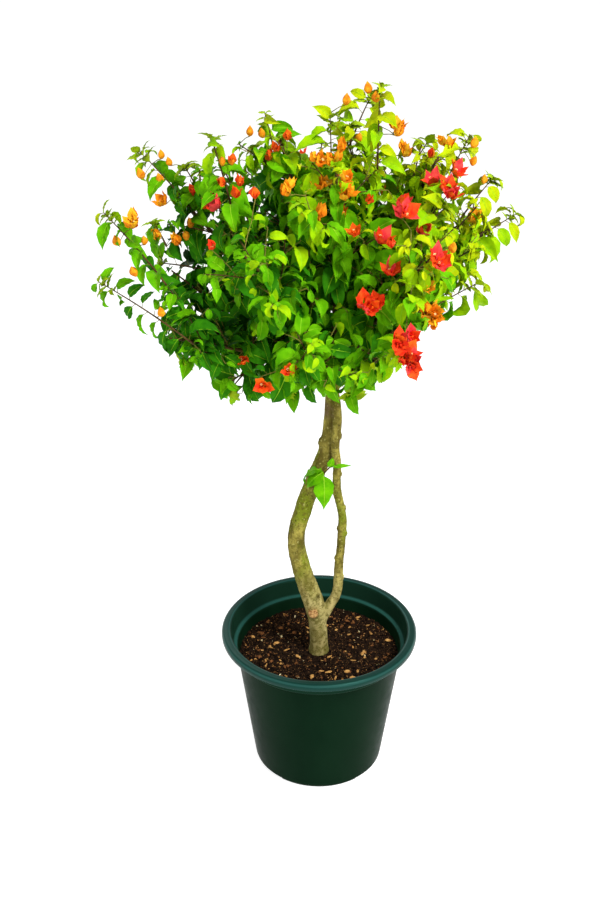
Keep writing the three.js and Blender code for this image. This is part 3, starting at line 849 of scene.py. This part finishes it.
def bend(blades, s, y, h, ruffle=0.05):
    """Places flat points on each blade: s along it, y across it, h above it, as shares of its length."""
    def column(name, size=1):
        values = np.array([getattr(b, name) for b in blades], dtype=float)
        return values.reshape((len(blades), 1, 1) + ((3,) if size == 3 else ()))

    arch, twist = column("arch"), column("twist") * s
    y = y * column("width")
    h = h + column("fold") * np.abs(y) - 0.9 * y * y
    h = h + ruffle * np.sin(9 * s + column("phase")) * np.abs(y)
    y, h = y * np.cos(twist) - h * np.sin(twist), y * np.sin(twist) + h * np.cos(twist)
    angle = arch * s
    x = np.sin(angle) / arch + h * np.sin(angle)
    z = -(1 - np.cos(angle)) / arch + h * np.cos(angle)
    heading, facing = column("heading", 3), column("facing", 3)
    across = np.cross(facing, heading)
    flat = x[..., None] * heading + y[..., None] * across + z[..., None] * facing
    return column("root", 3) + flat * column("length")[..., None]


def grid_faces(count, rows, columns):
    """Four-cornered faces of count grids of rows by columns corners."""
    first = np.arange(count)[:, None, None] * rows * columns
    corner = first + np.arange(rows - 1)[None, :, None] * columns + np.arange(columns - 1)[None, None, :]
    faces = np.stack([corner, corner + columns, corner + columns + 1, corner + 1], axis=-1)
    return faces.reshape(-1, 4).tolist()


def blade_mesh(blades, half_widths, ruffle=0.05):
    """Blades in their own outline, quilted between side veins that slant toward the tip."""
    side = np.abs(COLUMNS)[None, :]
    half = half_widths[:, None]
    s = np.clip(ROWS[:, None] - CHEVRON * (1 - side) * half * (ROWS[:, None] < 0.99), 0, 1)
    ridge = np.where(np.arange(len(ROWS)) % 2 == 0, 1, -1)[:, None] * np.minimum(1, half * 4)
    h = QUILT * ridge * np.array([0.4, 1, 0, 1, 0.4])[None, :]
    points = bend(blades, s[None], (COLUMNS[None, :] * half)[None], h[None], ruffle)
    return points.reshape(-1, 3), grid_faces(len(blades), len(ROWS), len(COLUMNS))


def rib_mesh(blades):
    """The midrib of each blade: a thin raised strip that narrows to the tip."""
    rows = ROWS[:-1, None] + 0.0
    half = 0.016 * (1 - 0.8 * rows)
    y = np.array([[-1, 0, 1]]) * half
    h = np.array([[0.002, 0.012, 0.002]]) + 0 * rows
    points = bend(blades, (rows + 0 * y)[None], y[None], h[None])
    return points.reshape(-1, 3), grid_faces(len(blades), len(rows), 3)


# ---------------------------------------------------------------- leaves
# Leaf greens from dark to light: painted shade inside the crown, painted light on its top and right, and
# young leaves' own yellow-green.
SHADES = ("leaf_shade", "leaf_deep", "leaf_mid", "leaf_fresh", "leaf_lime")
BEHIND_HUB = 220  # the leaves of whips and tips face away from a place this far behind the hub
leaves = {kind: [] for kind in (*SHADES, "leaf_tip")}
petioles = []


def leaf_kind(point, age, random):
    """Yellow-green by painted light toward the top and the right, deep green by painted shade inside, fresher
    at the shoots' tips.
    """
    above = max(0, point.z - CROWN_CENTRE.z)
    bright = 1.5 * crown_share(point) + 1.1 * above / CROWN_HALF.z + 1.3 * point.x / CROWN_HALF.x
    bright += 1.3 * (1 - age) + random(-0.65, 0.65)
    return SHADES[max(0, min(len(SHADES) - 1, int(bright + 1.1)))]


def leaf_length(point):
    """Leaves are long in the crown and under it, and short on the shoots that stand out of it."""
    t = min(1, max(0, (crown_share(point) - 0.6) / 0.45))
    return lerp(*LEAF_LENGTH, t) + 7 * max(0, 1 - (point.z - 640) / 70) * (1 - t * 0.5)


def leaf_fits(foot, tip, on_whip):
    """A leaf stays in the CAD box, near the crown's underside and, off the whips, in the crown as seen."""
    if not (above_underside(tip, -34) and in_cad_box(tip, -13)):
        return False
    return on_whip or seen_in_crown((foot + tip) / 2)


def grow_leaf(point, tangent, turn, length, kind, random, on_whip=False):
    """A leaf on its stalk: out from the twig and hanging, its upper side to the sky and outside."""
    out, hang = square_to(tangent, turn), random()
    heading, facing = out * 0.8 + tangent * 0.45, (point - HUB).normalized() * 0.8 + UP * 0.7
    if on_whip:
        hang = random(0.1, 0.9)
        heading, facing = out + tangent * 0.3, outside(point) * 0.9 + UP * 0.8
    heading = (heading - UP * hang).normalized()
    facing = Quaternion(heading, random(-0.7, 0.7)) @ made_square(facing, heading)
    foot = point + (out + tangent * 0.5).normalized() * length * 0.2
    if leaf_fits(foot, foot + (heading - UP * 0.3) * length, on_whip):
        shape = (random(0.66, 0.92), random(0.8, 2.2), random(0.35, 1.1), random(-0.6, 0.6), random(0, 6.3))
        leaves[kind].append(Blade(foot, heading, facing, length, *shape))
        petioles.append(tube([point, lerp(point, foot, 0.6), foot + heading], [0.5, 0.45, 0.35], 3))


def leafy(twig, seed, first, spacing, age=1.0, on_whip=False):
    """Leaves along a twig from its tip back, smaller toward the tip, on a whip in two rows."""
    random = seeded(seed)
    count = max(2, round(twig.length * (1 - first) / spacing))
    turn = random(-0.7, 0.7) if on_whip else random(0, 6.3)
    spray = random(-0.35, 0.35)
    for i in range(count + 1):
        t = 1 - i * (1 - first) / count
        point = twig.point(t)
        length = leaf_length(point) * min(1, 0.55 + i / 4) * random(0.8, 1.15) * (1.3 if on_whip else 1)
        kind = leaf_kind(point, min(1, age * (0.45 + i / 3)) + spray * 0.5, random)
        turn += math.pi + random(-0.5, 0.5) if on_whip else GOLDEN_ANGLE
        grow_leaf(point, twig.tangent(t), turn, length, kind, random, on_whip)


def outside(point):
    """The level way to a point from a place well behind the hub: outward, and mostly to the front."""
    return Vector((point.x - HUB.x, point.y - HUB.y - BEHIND_HUB, 0)).normalized()


def leafy_tip(twig, seed, count, full_length, on_whip=False):
    """The tuft of small young leaves that ends a shoot."""
    random = seeded(seed)
    tangent = twig.tangent(1)
    for i in range(count):
        point = twig.point(1 - 0.02 * i)
        heading = (tangent * random(0.1, 1.0) + square_to(tangent, i * GOLDEN_ANGLE + seed)).normalized()
        facing = made_square(tangent * 0.6 + UP * 0.5 + outside(point) * 0.5, heading)
        length = full_length * random(0.6, 1.3)
        if in_cad_box(point + heading * length, -13):
            shape = (random(0.65, 0.95), random(0.5, 1.6), random(0.1, 0.5), random(-0.3, 0.3), 0)
            kind = "leaf_tip" if on_whip else leaf_kind(point, 0.6, random)
            leaves[kind].append(Blade(point, heading, facing, length, *shape))


# ---------------------------------------------------------------- blossom
# The colours that a bloom of each kind deals out to its bracts.
BRACT_TINTS = {
    "scarlet": ("scarlet", "scarlet", "vermilion", "crimson", "scarlet"),
    "crimson": ("crimson", "crimson", "scarlet", "crimson", "scarlet"),
    "ember": ("scarlet", "vermilion", "scarlet", "scarlet", "vermilion"),
    "flame": ("vermilion", "vermilion", "scarlet", "vermilion", "vermilion"),
    "orange": ("orange", "orange", "amber", "orange", "amber"),
}
TINTS = ("scarlet", "crimson", "vermilion", "orange", "amber")
BLOOM_SIZE = {"bud": 14, "ember": 16, "flame": 17, "orange": 19, "scarlet": 23, "crimson": 23}
# A closed bud's outline: (height, radius), as shares of its length.
LANTERN = [
    (0, 0.1), (0.12, 0.22), (0.28, 0.31), (0.45, 0.33), (0.62, 0.28), (0.78, 0.18), (0.9, 0.08), (1, 0.01),
]
LANTERN_SIDES = 12
bracts = {tint: [] for tint in TINTS}
tubes = {tint: [] for tint in TINTS}
buds, stars, stalks = [], [], []


def lantern(root, axis, length, turn):
    """A closed bud: three bracts that meet in keels, drawn out to a point."""
    first = square_to(axis, turn)
    corners = []
    for height, radius in LANTERN:
        for k, out in enumerate(spokes(first, axis.cross(first), LANTERN_SIDES)):
            keel = 1 + 0.16 * math.cos(6 * math.pi * k / LANTERN_SIDES) + 0.05 * (-1) ** k
            corners.append(root + (axis * height + out * radius * keel) * length)
    return corners, ring_faces(len(LANTERN), LANTERN_SIDES)[0]


def star(centre, axis, radius):
    """The small flower inside the bracts: a tube's mouth with five lobes."""
    first = square_to(axis, 0)
    corners = [centre - axis * radius * 0.4]
    for k, out in enumerate(spokes(first, axis.cross(first), 10)):
        corners.append(centre + out * (radius if k % 2 == 0 else radius * 0.45))
    return corners, [(0, 1 + k, 1 + (k + 1) % 10) for k in range(10)]


def grow_bloom(root, axis, kind, random, size):
    """Pointed papery bracts round the stalk's end, with flower tubes among them, of which one may be open."""
    half_closed = kind == "ember" or kind == "orange" and random() < 0.5
    spread = random(0.35, 0.7) if half_closed else random(0.8, 1.4)
    turn = random(0, 6.3)
    for i in range(5):
        outward = square_to(axis, turn + i * 2 * math.pi / 5)
        heading = (axis + outward * spread * (1 if i % 2 else 0.7)).normalized()
        arch = random(-1.3, -0.3) if half_closed else random(-0.8, -0.1)
        shape = (random(0.72, 0.98), arch, random(0.2, 0.7), random(-0.3, 0.3), random(0, 6.3))
        tint = BRACT_TINTS[kind][int(random(0, 5))]
        length = size * random(0.85, 1.15)
        bracts[tint].append(Blade(root + outward * 1.2, heading, made_square(axis, heading), length, *shape))
        if i % 2 == 0:
            way = (axis * 1.6 + outward * 0.5).normalized()
            end = root + way * size * random(0.38, 0.5)
            tubes[tint].append(tube([root, end], [0.8, 1.0], 5))
            if i == 0 and random() < (1 if kind == "flame" else 0.6):
                stars.append(star(end + way * 0.4, way, random(1.8, 2.6)))


def grow_blossom(point, target, kind, random):
    """A bud, a bloom or a few blooms on a stalk, from a place on a twig toward a target."""
    size = BLOOM_SIZE[kind]
    out = (target - point).normalized()
    axis = (out * 0.5 + (point - HUB).normalized() * 0.7 + UP * random(-0.1, 0.5)).normalized()
    if kind == "bud":
        axis = (axis * 0.6 + UP).normalized()
    way = target - axis * size * 0.45 - point
    end = point + way.normalized() * max(7.0, min(way.length, 26.0))
    stalks.append(tube([point, lerp(point, end, 0.6) + UP * 1.5, end], [0.6, 0.5, 0.7], 4))
    if kind == "bud":
        buds.append(lantern(end, axis, random(12, 16), random(0, 6.3)))
        return
    grow_bloom(end, axis, kind, random, size)
    for _ in range(0 if kind in ("ember", "flame") else int(random(0.3, 2.8))):
        aside = (axis + square_to(axis, random(0, 6.3)) * 0.9).normalized()
        foot = end + aside * 7
        stalks.append(tube([lerp(point, end, 0.8), foot], [0.5, 0.7], 4))
        grow_bloom(foot, aside, kind, random, size * random(0.75, 1))


def bloom_where_seen(nodes):
    """Blossom at the places that the photograph shows, from the nearest twig in front."""
    seen_nodes = [(seen_at(node), node) for node in nodes]
    for kind, places in BLOOMS_SEEN.items():
        for number, (u, v) in enumerate(places):
            depth, node = nearest_seen(seen_nodes, u, v, DEPTH_COST["bud" if kind == "bud" else "bloom"])
            random = seeded(SEEDS["seen_bloom"] + 100 * len(kind) + number)
            grow_blossom(node, point_behind(u, v, depth - 0.012), kind, random)


def bloom_elsewhere(tips):
    """Blossom by chance on the tips that the photograph doesn't show."""
    for number, (tip, tangent) in enumerate(tips):
        random = seeded(SEEDS["unseen_bloom"] + number)
        if tip.y < 60 or tip.z > 930 or random() > UNSEEN_BLOOM_SHARE * (1.6 if tip.x > 0 else 1.0):
            continue
        kind = ["bud", "orange", "scarlet", "crimson"][int(random(0, 4))]
        target = tip + (tangent + UP * random(0, 0.5)) * 14
        if in_cad_box(target, 26):
            grow_blossom(tip, target, kind, random)


# ---------------------------------------------------------------- the crown
old_twigs, young_twigs = [], []
nodes, tips = [], []  # where whips and blossom can grow, and the ends of twigs with their headings


def grow_fine_twig(twig, seed):
    young_twigs.append(twig.tube(4, 3))
    leafy(twig, seed, 0.2, LEAF_SPACING)


def grow_mass(mass):
    """A mass's shoots and fine twigs, with their leaves. Blossom and whips can grow at the nodes."""
    leaders = long_shoots(mass)
    for number, whole_shoot in enumerate(leaders + side_shoots(mass, leaders[0])):
        seed = SEEDS["mass"] * mass.index + SEEDS["shoot"] * number
        leading = number < len(leaders)
        shoot = cut_to_crown(whole_shoot)
        if shoot is None:
            continue
        old_twigs.append(shoot.tube(6 if leading else 5, 8 if leading else 5))
        leafy(shoot, seed + 1, 0.1, LEAF_SPACING * 1.2)
        if crown_share(shoot.tip) > 0.8:
            leafy_tip(shoot, seed + 2, *TIP_LEAVES["shoot"])
        for k, whole_twig in enumerate(fine_twigs(mass, shoot, seed + 3, 0.06, 0.8 if leading else 0.85)):
            twig = cut_to_crown(whole_twig)
            if twig is not None:
                grow_fine_twig(twig, seed + 4 + k)
                nodes.extend([twig.point(0.6), twig.tip])
                tips.append((twig.tip, twig.tangent(1)))
        nodes.extend(shoot.point(t) for t in (0.5, 0.65, 0.8, 0.9, 1))
        tips.append((shoot.tip, shoot.tangent(1)))
    seed = SEEDS["mass"] * mass.index + SEEDS["bough"]
    for k, twig in enumerate(fine_twigs(mass, bough(mass), seed, 0.45, 0.95)):
        grow_fine_twig(twig, seed + 50 + k)


def grow_whips():
    for number, whip in enumerate(whips(nodes)):
        old_twigs.append(whip.tube(6, 10))
        leafy(whip, SEEDS["whip"] + number, 0.05, LEAF_SPACING * 0.75, 0.6, on_whip=True)
        leafy_tip(whip, SEEDS["whip_tip"] + number, *TIP_LEAVES["whip"], on_whip=True)
        nodes.extend(whip.point(t / 10) for t in range(2, 11))


def add_leaves(name, blades, kind):
    green = speckled(kind, 16, (0.34, 0.48), gloss=LEAF_GLOSS)
    piece(name, *blade_mesh(blades, LEAF_HALF), green, "foliage")


def add_crown():
    for mass in ALL_MASSES:
        grow_mass(mass)
    grow_whips()
    bloom_where_seen(nodes)
    bloom_elsewhere(tips)
    shoots = piece("shoots", *joined(old_twigs), speckled("old_stem", 6, (0.5, 0.7)), "bark")
    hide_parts(*["foliage_" + mass.name for mass in ALL_MASSES])
    stem = speckled("young_stem", 6, (0.45, 0.6))
    piece("fine_twigs", *joined(young_twigs), stem, "foliage")
    piece("leaf_stalks", *joined(petioles), stem, "foliage")
    for kind, blades in leaves.items():
        add_leaves(kind.replace("leaf", "leaves"), blades, kind)
    every_leaf = [blade for blades in leaves.values() for blade in blades]
    piece("leaf_ribs", *rib_mesh(every_leaf), speckled("leaf_rib", 12, gloss=LEAF_GLOSS), "foliage")
    for tint in TINTS:
        open_part = blade_mesh(bracts[tint], BRACT_HALF, 0.16)
        papery = speckled(tint, 10, (0.5, 0.7), 0.3)
        piece("bracts_" + tint, *joined([open_part, *tubes[tint]]), papery, "foliage")
    piece("buds", *joined(buds), speckled("bud", 5, (0.5, 0.7), 0.3), "foliage")
    piece("flowers", *joined(stars), speckled("star", 3), "foliage")
    piece("blossom_stalks", *joined(stalks), stem, "foliage")


# ---------------------------------------------------------------- trunk and boughs
# Knots on the stems: (stem, height, bearing, size, rise). A sunk one has a negative rise.
KNOTS = [
    ("main", 294, -48, 5, 1.8), ("main", 322, -60, 3, -1.4), ("main", 300, -140, 4, 1.2),
    ("side", 283, -60, 3, 1.2), ("side", 318, -20, 3.2, 1.5), ("side", 352, 200, 3, 1.1),
    ("side", 395, -30, 3.4, 1.6), ("side", 402, 160, 3, 1.2), ("side", 440, -10, 3.2, 1.4),
    ("side", 468, 190, 3, 1.2), ("side", 498, -30, 3.2, 1.4), ("side", 522, 180, 3, 1.2),
    ("main", 545, 180, 5, 2.2), ("main", 420, -150, 4, 1.2), ("main", 452, -110, 4, 1.0),
    ("main", 520, -130, 4, 1.4), ("side", 560, -20, 4, 1.8), ("side", 585, -80, 3.5, 1.4),
]
SEAM = {"heights": (498, 640), "depth": 2.2, "half_width": 1.8}
STUB = {"height": 259, "bearing": -105, "rise": 25, "length": 10, "radius": 9.8}
VOXEL = 1.4  # of the remeshing that grows the limbs into one skin
STEM_NODES = (
    "trunk_foot", "main_stem_lower", "main_stem_upper", "side_stem_lower", "side_stem_upper", "trunk_top",
)


def stub_limb():
    """The pruned branch stub at the fork: from inside the trunk to its cut face."""
    t = MAIN.at_height(STUB["height"])
    heading = direction(STUB["bearing"], STUB["rise"])
    start = MAIN.point(t) + heading * MAIN.radius(t) * 0.5
    end = MAIN.point(t) + heading * (MAIN.radius(t) + STUB["length"] / 2)
    return Twig(start, end, STUB["radius"], STUB["radius"] * 0.78), heading


def knot_places():
    places = []
    for name, height, bearing, size, rise in KNOTS:
        stem = MAIN if name == "main" else SIDE
        t = stem.at_height(height)
        places.append((stem.point(t) + direction(bearing, 5) * stem.radius(t), size, rise))
    return places


def stem_axes(stem):
    """The stem's centre and radius for each whole millimetre of height where the two stems meet."""
    axes = {}
    for z in range(*SEAM["heights"]):
        t = stem.at_height(z)
        axes[z] = (stem.point(t), stem.radius(t))
    return axes


def seam_depth(place, axes):
    """The furrow that shows where the two stems have grown together, deepest halfway between their skins."""
    z = int(place.z)
    if z not in axes[0]:
        return 0.0
    to_main, to_side = ((place - centre).length - radius for centre, radius in (table[z] for table in axes))
    low, high = SEAM["heights"]
    fade = min(1, (z - low) / 12, (high - z) / 30)
    return SEAM["depth"] * fade * math.exp(-((to_main - to_side) / SEAM["half_width"]) ** 2)


def bark_relief(place, knots):
    """How far the bark stands out at a place, in millimetres."""
    long_grain = Vector((place.x, place.y, place.z * 0.3))
    relief = 0.75 * noise.noise(long_grain / 9) + 0.55 * noise.noise(long_grain / 3.6)
    relief += 0.3 * noise.noise(place / 2.1)
    for centre, size, rise in knots:
        distance = (place - centre).length / size
        if distance < 3:
            ring = math.exp(-distance * distance) - 0.8 * math.exp(-6 * distance * distance)
            relief += rise * ring * 2.2
    return relief


def relief_share(place):
    """The relief fades out on the thin boughs and at the cut under the trunk."""
    thin = min(1.0, 0.35 + max(0.0, 600 - place.z) / 60)
    level = min(1.0, max(0.0, (place.z - SOIL_TOP - 1) / 4))
    return thin * level


def add_bark():
    """Stems, boughs and stub grown into one skin, then given the relief of bark."""
    stub, heading = stub_limb()
    limbs = [MAIN.tube(24, 90), SIDE.tube(20, 70), stub.tube(16, 4)]
    limbs += [bough(mass).tube(12, 10) for mass in ALL_MASSES]
    corners, faces = joined(limbs)
    skin = mesh_object("bark", corners, faces)
    remesh = skin.modifiers.new("skin", "REMESH")
    remesh.mode = "VOXEL"
    remesh.voxel_size = VOXEL * MM
    smooth = skin.modifiers.new("smooth", "SMOOTH")
    smooth.iterations = 3
    bake_modifiers(skin)
    knots, axes = knot_places(), (stem_axes(MAIN), stem_axes(SIDE))
    raised = []
    for vertex in skin.data.vertices:
        place = vertex.co / MM
        relief = bark_relief(place, knots) * relief_share(place) - seam_depth(place, axes)
        raised.append(place + vertex.normal * relief)
    skin.data.vertices.foreach_set("co", (np.array(raised) * MM).ravel())
    finished(skin, bark_material(), "bark")
    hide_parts(*STEM_NODES, *["bough_" + mass.name for mass in ALL_MASSES])
    face = [stub.tip + heading * 0.1, stub.tip + heading * 0.9]
    piece("cut_face", *tube(face, [7.6, 6.8], 18), speckled("cut_wood", 3, (0.7, 0.9), 0.4, 0.2), "bark")


# ---------------------------------------------------------------- sprout on the stem
SPROUT = {"height": 494, "bearing": -54, "reach": 24, "radius": 1.7}
# (bearing, rise, length, width, arch, twist, rise of the facing) of the sprout's leaves.
SPROUT_LEAVES = [
    (-78, -62, 50, 1.05, 0.4, 0.1, 50),
    (-168, 38, 46, 0.85, 2.9, 0.5, 84),
    (-150, -10, 40, 0.9, 1.6, 0.3, 62),
    (-30, 62, 18, 0.95, 1.0, 0.2, 50),
    (2, 10, 30, 0.36, 0.5, 0.2, 50),
]


def add_sprout():
    t = MAIN.at_height(SPROUT["height"])
    heading = direction(SPROUT["bearing"], 20)
    root = MAIN.point(t) + heading * MAIN.radius(t) * 0.8
    stem = Twig(root, root + direction(-35, 45) * SPROUT["reach"], SPROUT["radius"], 1.0, root + heading * 8)
    parts, blades = [stem.tube(6, 3)], []
    for number, (bearing, rise, length, width, arch, twist, facing_rise) in enumerate(SPROUT_LEAVES):
        point = stem.point(0.4 + 0.14 * number)
        out = direction(bearing, rise)
        facing = made_square(direction(SPROUT["bearing"], facing_rise), out)
        foot = point + out * 4
        parts.append(tube([point, foot + out], [0.8, 0.6], 4))
        blades.append(Blade(foot, out, facing, length, width, arch, 0.2, twist, number))
    twig = piece("sprout_twig", *joined(parts), speckled("old_stem", 6, (0.5, 0.7)), "foliage")
    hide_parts("sprout")
    add_leaves("sprout_leaves", blades, "leaf_mid")
    piece("sprout_ribs", *rib_mesh(blades), speckled("leaf_rib", 12), "foliage")


# ---------------------------------------------------------------- pot
def wall_radius(z):
    return POT["foot_radius"] + POT["wall_draft"] * z


def pot_profile():
    """The pot's section as (radius, height, rounding of the corner)."""
    base = POT["foot_height"] + POT["floor"]
    height, rim, mouth, ledge = POT["height"], POT["rim_radius"], POT["mouth_radius"], POT["ledge_height"]
    lip = POT["lip_depth"]
    inner, outer = POT["channel"]
    return [
        (0.01, 0, 0), (inner, 0, 1), (inner + 1, 4, 0.8), (outer, 4, 0.8), (outer + 1, 0, 0.8),
        (wall_radius(0) - 1.5, 0, 1.2), (wall_radius(3) + 0.2, 3.5, 2.5),
        (wall_radius(ledge - 4), ledge - 4, 1.5), (POT["ledge_radius"] + 6.6, ledge + 1, 1.6),
        (mouth, height - 4, 0.8), (rim - 3, height - 4, 0.6), (rim - 2.6, height - lip, 0.5),
        (rim - 0.6, height - lip, 0.5), (rim, height - 4.5, 2.4), (rim - 3, height, 3),
        (mouth + 2.5, height, 2), (mouth - 0.8, height - 2, 1.4), (POT["ledge_radius"] + 4.4, ledge + 2, 1.2),
        (wall_radius(ledge) - POT["wall"], ledge, 1.2), (wall_radius(base) - POT["wall"] - 1, base, 2),
        (0.01, base, 0),
    ]


def rounded(profile, steps=4):
    """The profile with each corner turned into a short arc."""
    points = []
    for i, (r, z, rounding) in enumerate(profile):
        here = Vector((r, z))
        if rounding == 0:
            points.append(here)
            continue
        before, after = Vector(profile[i - 1][:2]), Vector(profile[i + 1][:2])
        reach = min(rounding, 0.45 * (before - here).length, 0.45 * (after - here).length)
        start, end = here + (before - here).normalized() * reach, here + (after - here).normalized() * reach
        for k in range(steps + 1):
            t = k / steps
            points.append(start * (1 - t) ** 2 + here * 2 * t * (1 - t) + end * t**2)
    return points


def lathe(points, sides):
    """The solid that a section of (radius, height) sweeps round the upright axis."""
    angles = [2 * math.pi * k / sides for k in range(sides)]
    corners = [(r * math.cos(angle), r * math.sin(angle), z) for r, z in points for angle in angles]
    walls, ends = ring_faces(len(points), sides)
    return corners, walls + ends


def drain_cutters():
    """Solids that cut the drain holes and the notches under the foot."""
    parts = []
    for i in range(DRAIN["holes"]):
        middle = direction((i + 0.5) * 360 / DRAIN["holes"], 0) * DRAIN["circle_radius"]
        parts.append(tube([middle - UP * 5, middle + UP * 20], [DRAIN["hole_radius"]] * 2, 20))
    for i in range(DRAIN["notches"]):
        out = direction((i + 0.5) * 360 / DRAIN["notches"], 0)
        across = UP.cross(out) * DRAIN["notch_width"] / 2
        rectangle = ((-15, -1), (15, -1), (15, 1), (-15, 1))
        low = [out * (wall_radius(0) + a) + across * b - UP * 5 for a, b in rectangle]
        high = [corner + UP * (5 + DRAIN["notch_height"]) for corner in low]
        walls, ends = ring_faces(2, 4)
        parts.append((low + high, ends + walls))
    return parts


def add_pot():
    corners, faces = lathe(rounded(pot_profile()), 144)
    body = mesh_object("pot_body", corners, faces)
    cutter_corners, cutter_faces = joined(drain_cutters())
    cutter = mesh_object("drain_cutter", cutter_corners, cutter_faces)
    cut = body.modifiers.new("drain", "BOOLEAN")
    cut.operation = "DIFFERENCE"
    cut.solver = "EXACT"
    cut.object = cutter
    bake_modifiers(body)
    bpy.data.objects.remove(cutter)
    finished(body, pot_material(), "pot")
    body.data.set_sharp_from_angle(angle=math.radians(38))
    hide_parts("pot")


# ---------------------------------------------------------------- soil
SOIL_RADIUS = wall_radius(SOIL_TOP) - POT["wall"] - 0.4
BARE_RADIUS = 17  # round the trunk
# name: (colour, count, sizes, thickness) of the lumps on the soil.
LUMPS = {
    "soil_crumbs": ("crumb", 1900, (2, 6), 0.9),
    "bark_chips_tan": ("chip_tan", 260, (1.5, 10), 0.6),
    "bark_chips_rust": ("chip_rust", 330, (2, 9), 0.7),
    "pale_grit": ("chip_pale", 70, (1.5, 5), 0.9),
}
CRUMB_RINGS = ((-0.5, 0.45), (-0.15, 1), (0.25, 0.9), (0.5, 0.35))  # (place along it, thickness)


def soil_height(x, y):
    """The lumpy top of the potting mix, a little heaped round the trunk."""
    place = Vector((x, y, 0))
    height = SOIL_TOP + 2.2 * noise.noise(place / 30) + 1.6 * noise.noise(place / 9 + Vector((5, 0, 0)))
    height += 2.2 * noise.noise(place / 3.3) + 1.2 * noise.noise(place / 1.7)
    return height + 2.0 * math.exp(-((math.hypot(x, y) - BARE_RADIUS) / 9) ** 2)


def disc_point(a, b):
    """A point of the square from -1 to 1, moved to the disc of the same area order."""
    if a == 0 and b == 0:
        return 0.0, 0.0
    if abs(a) > abs(b):
        return a * math.cos(math.pi / 4 * b / a), a * math.sin(math.pi / 4 * b / a)
    return b * math.sin(math.pi / 4 * a / b), b * math.cos(math.pi / 4 * a / b)


def add_soil_top(cells=160):
    """The soil's lumpy top, on walls that narrow down to the pot's floor."""
    corners = []
    for i in range(cells + 1):
        for j in range(cells + 1):
            x, y = disc_point(2 * i / cells - 1, 2 * j / cells - 1)
            corners.append((x * SOIL_RADIUS, y * SOIL_RADIUS, soil_height(x * SOIL_RADIUS, y * SOIL_RADIUS)))
    faces = [tuple(reversed(face)) for face in grid_faces(1, cells + 1, cells + 1)]
    grid = np.arange((cells + 1) ** 2).reshape(cells + 1, cells + 1)
    edge = np.concatenate([grid[0], grid[1:, -1], grid[-1, -2::-1], grid[-2:0:-1, 0]]).tolist()
    base = POT["foot_height"] + POT["floor"] + 0.3
    shrink = (wall_radius(base) - POT["wall"] - 2) / SOIL_RADIUS
    start = len(corners)
    corners += [(corners[i][0] * shrink, corners[i][1] * shrink, base) for i in edge]
    for k in range(len(edge)):
        following = (k + 1) % len(edge)
        faces.append((edge[k], edge[following], start + following, start + k))
    faces.append(tuple(range(start, start + len(edge))))
    soil = piece("soil_top", corners, faces, soil_material(), "soil")
    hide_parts("soil")


def crumb(centre, size, random, flat):
    """A small angular lump, longer than wide, lying at random."""
    axis = direction(random(0, 360), random(-25, 25))
    side = square_to(axis, random(-0.6, 0.6))
    other = axis.cross(side)
    long, wide, thick = size * random(0.8, 1.3), size * random(0.45, 0.8), size * flat * random(0.3, 0.6)
    corners = []
    for ring, (height, spread) in enumerate(CRUMB_RINGS):
        for k in range(5):
            angle = 2 * math.pi * (k + 0.5 * (ring % 2)) / 5
            out = other * math.cos(angle) * wide / 2 + side * math.sin(angle) * thick / 2
            corners.append(centre + axis * height * long + out * spread * random(0.75, 1.2))
    walls, ends = ring_faces(len(CRUMB_RINGS), 5)
    return corners, ends + walls


def scattered(count, sizes, seed, flat):
    """Lumps lying on the soil between the trunk and the pot's wall, most of them small."""
    random = seeded(seed)
    parts = []
    for _ in range(count):
        size = lerp(*sizes, random() ** 3.4)
        radius = lerp(BARE_RADIUS + size / 2, SOIL_RADIUS - size * 0.75, random() ** 0.5)
        bearing = random(0, 2 * math.pi)
        x, y = radius * math.cos(bearing), radius * math.sin(bearing)
        parts.append(crumb(Vector((x, y, soil_height(x, y) + size * 0.1)), size, random, flat))
    return parts


def add_soil():
    add_soil_top()
    for seed, (name, (colour, count, sizes, flat)) in enumerate(LUMPS.items(), start=41):
        rough = speckled(colour, 3, (0.75, 0.95), 0.4, 0.04)
        lumps = piece(name, *joined(scattered(count, sizes, seed, flat)), rough, "soil")
        lumps.data.shade_flat()


# ---------------------------------------------------------------- the scene
MAIN, SIDE = Stem(MAIN_STEM), Stem(SIDE_STEM)
ALL_MASSES = all_masses()

add_studio()
add_pot()
add_soil()
add_bark()
add_crown()
add_sprout()

boxes = {"cad": CAD_BOX, "visual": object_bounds()}
{name: [list(corner) for corner in box] for name, box in boxes.items()}
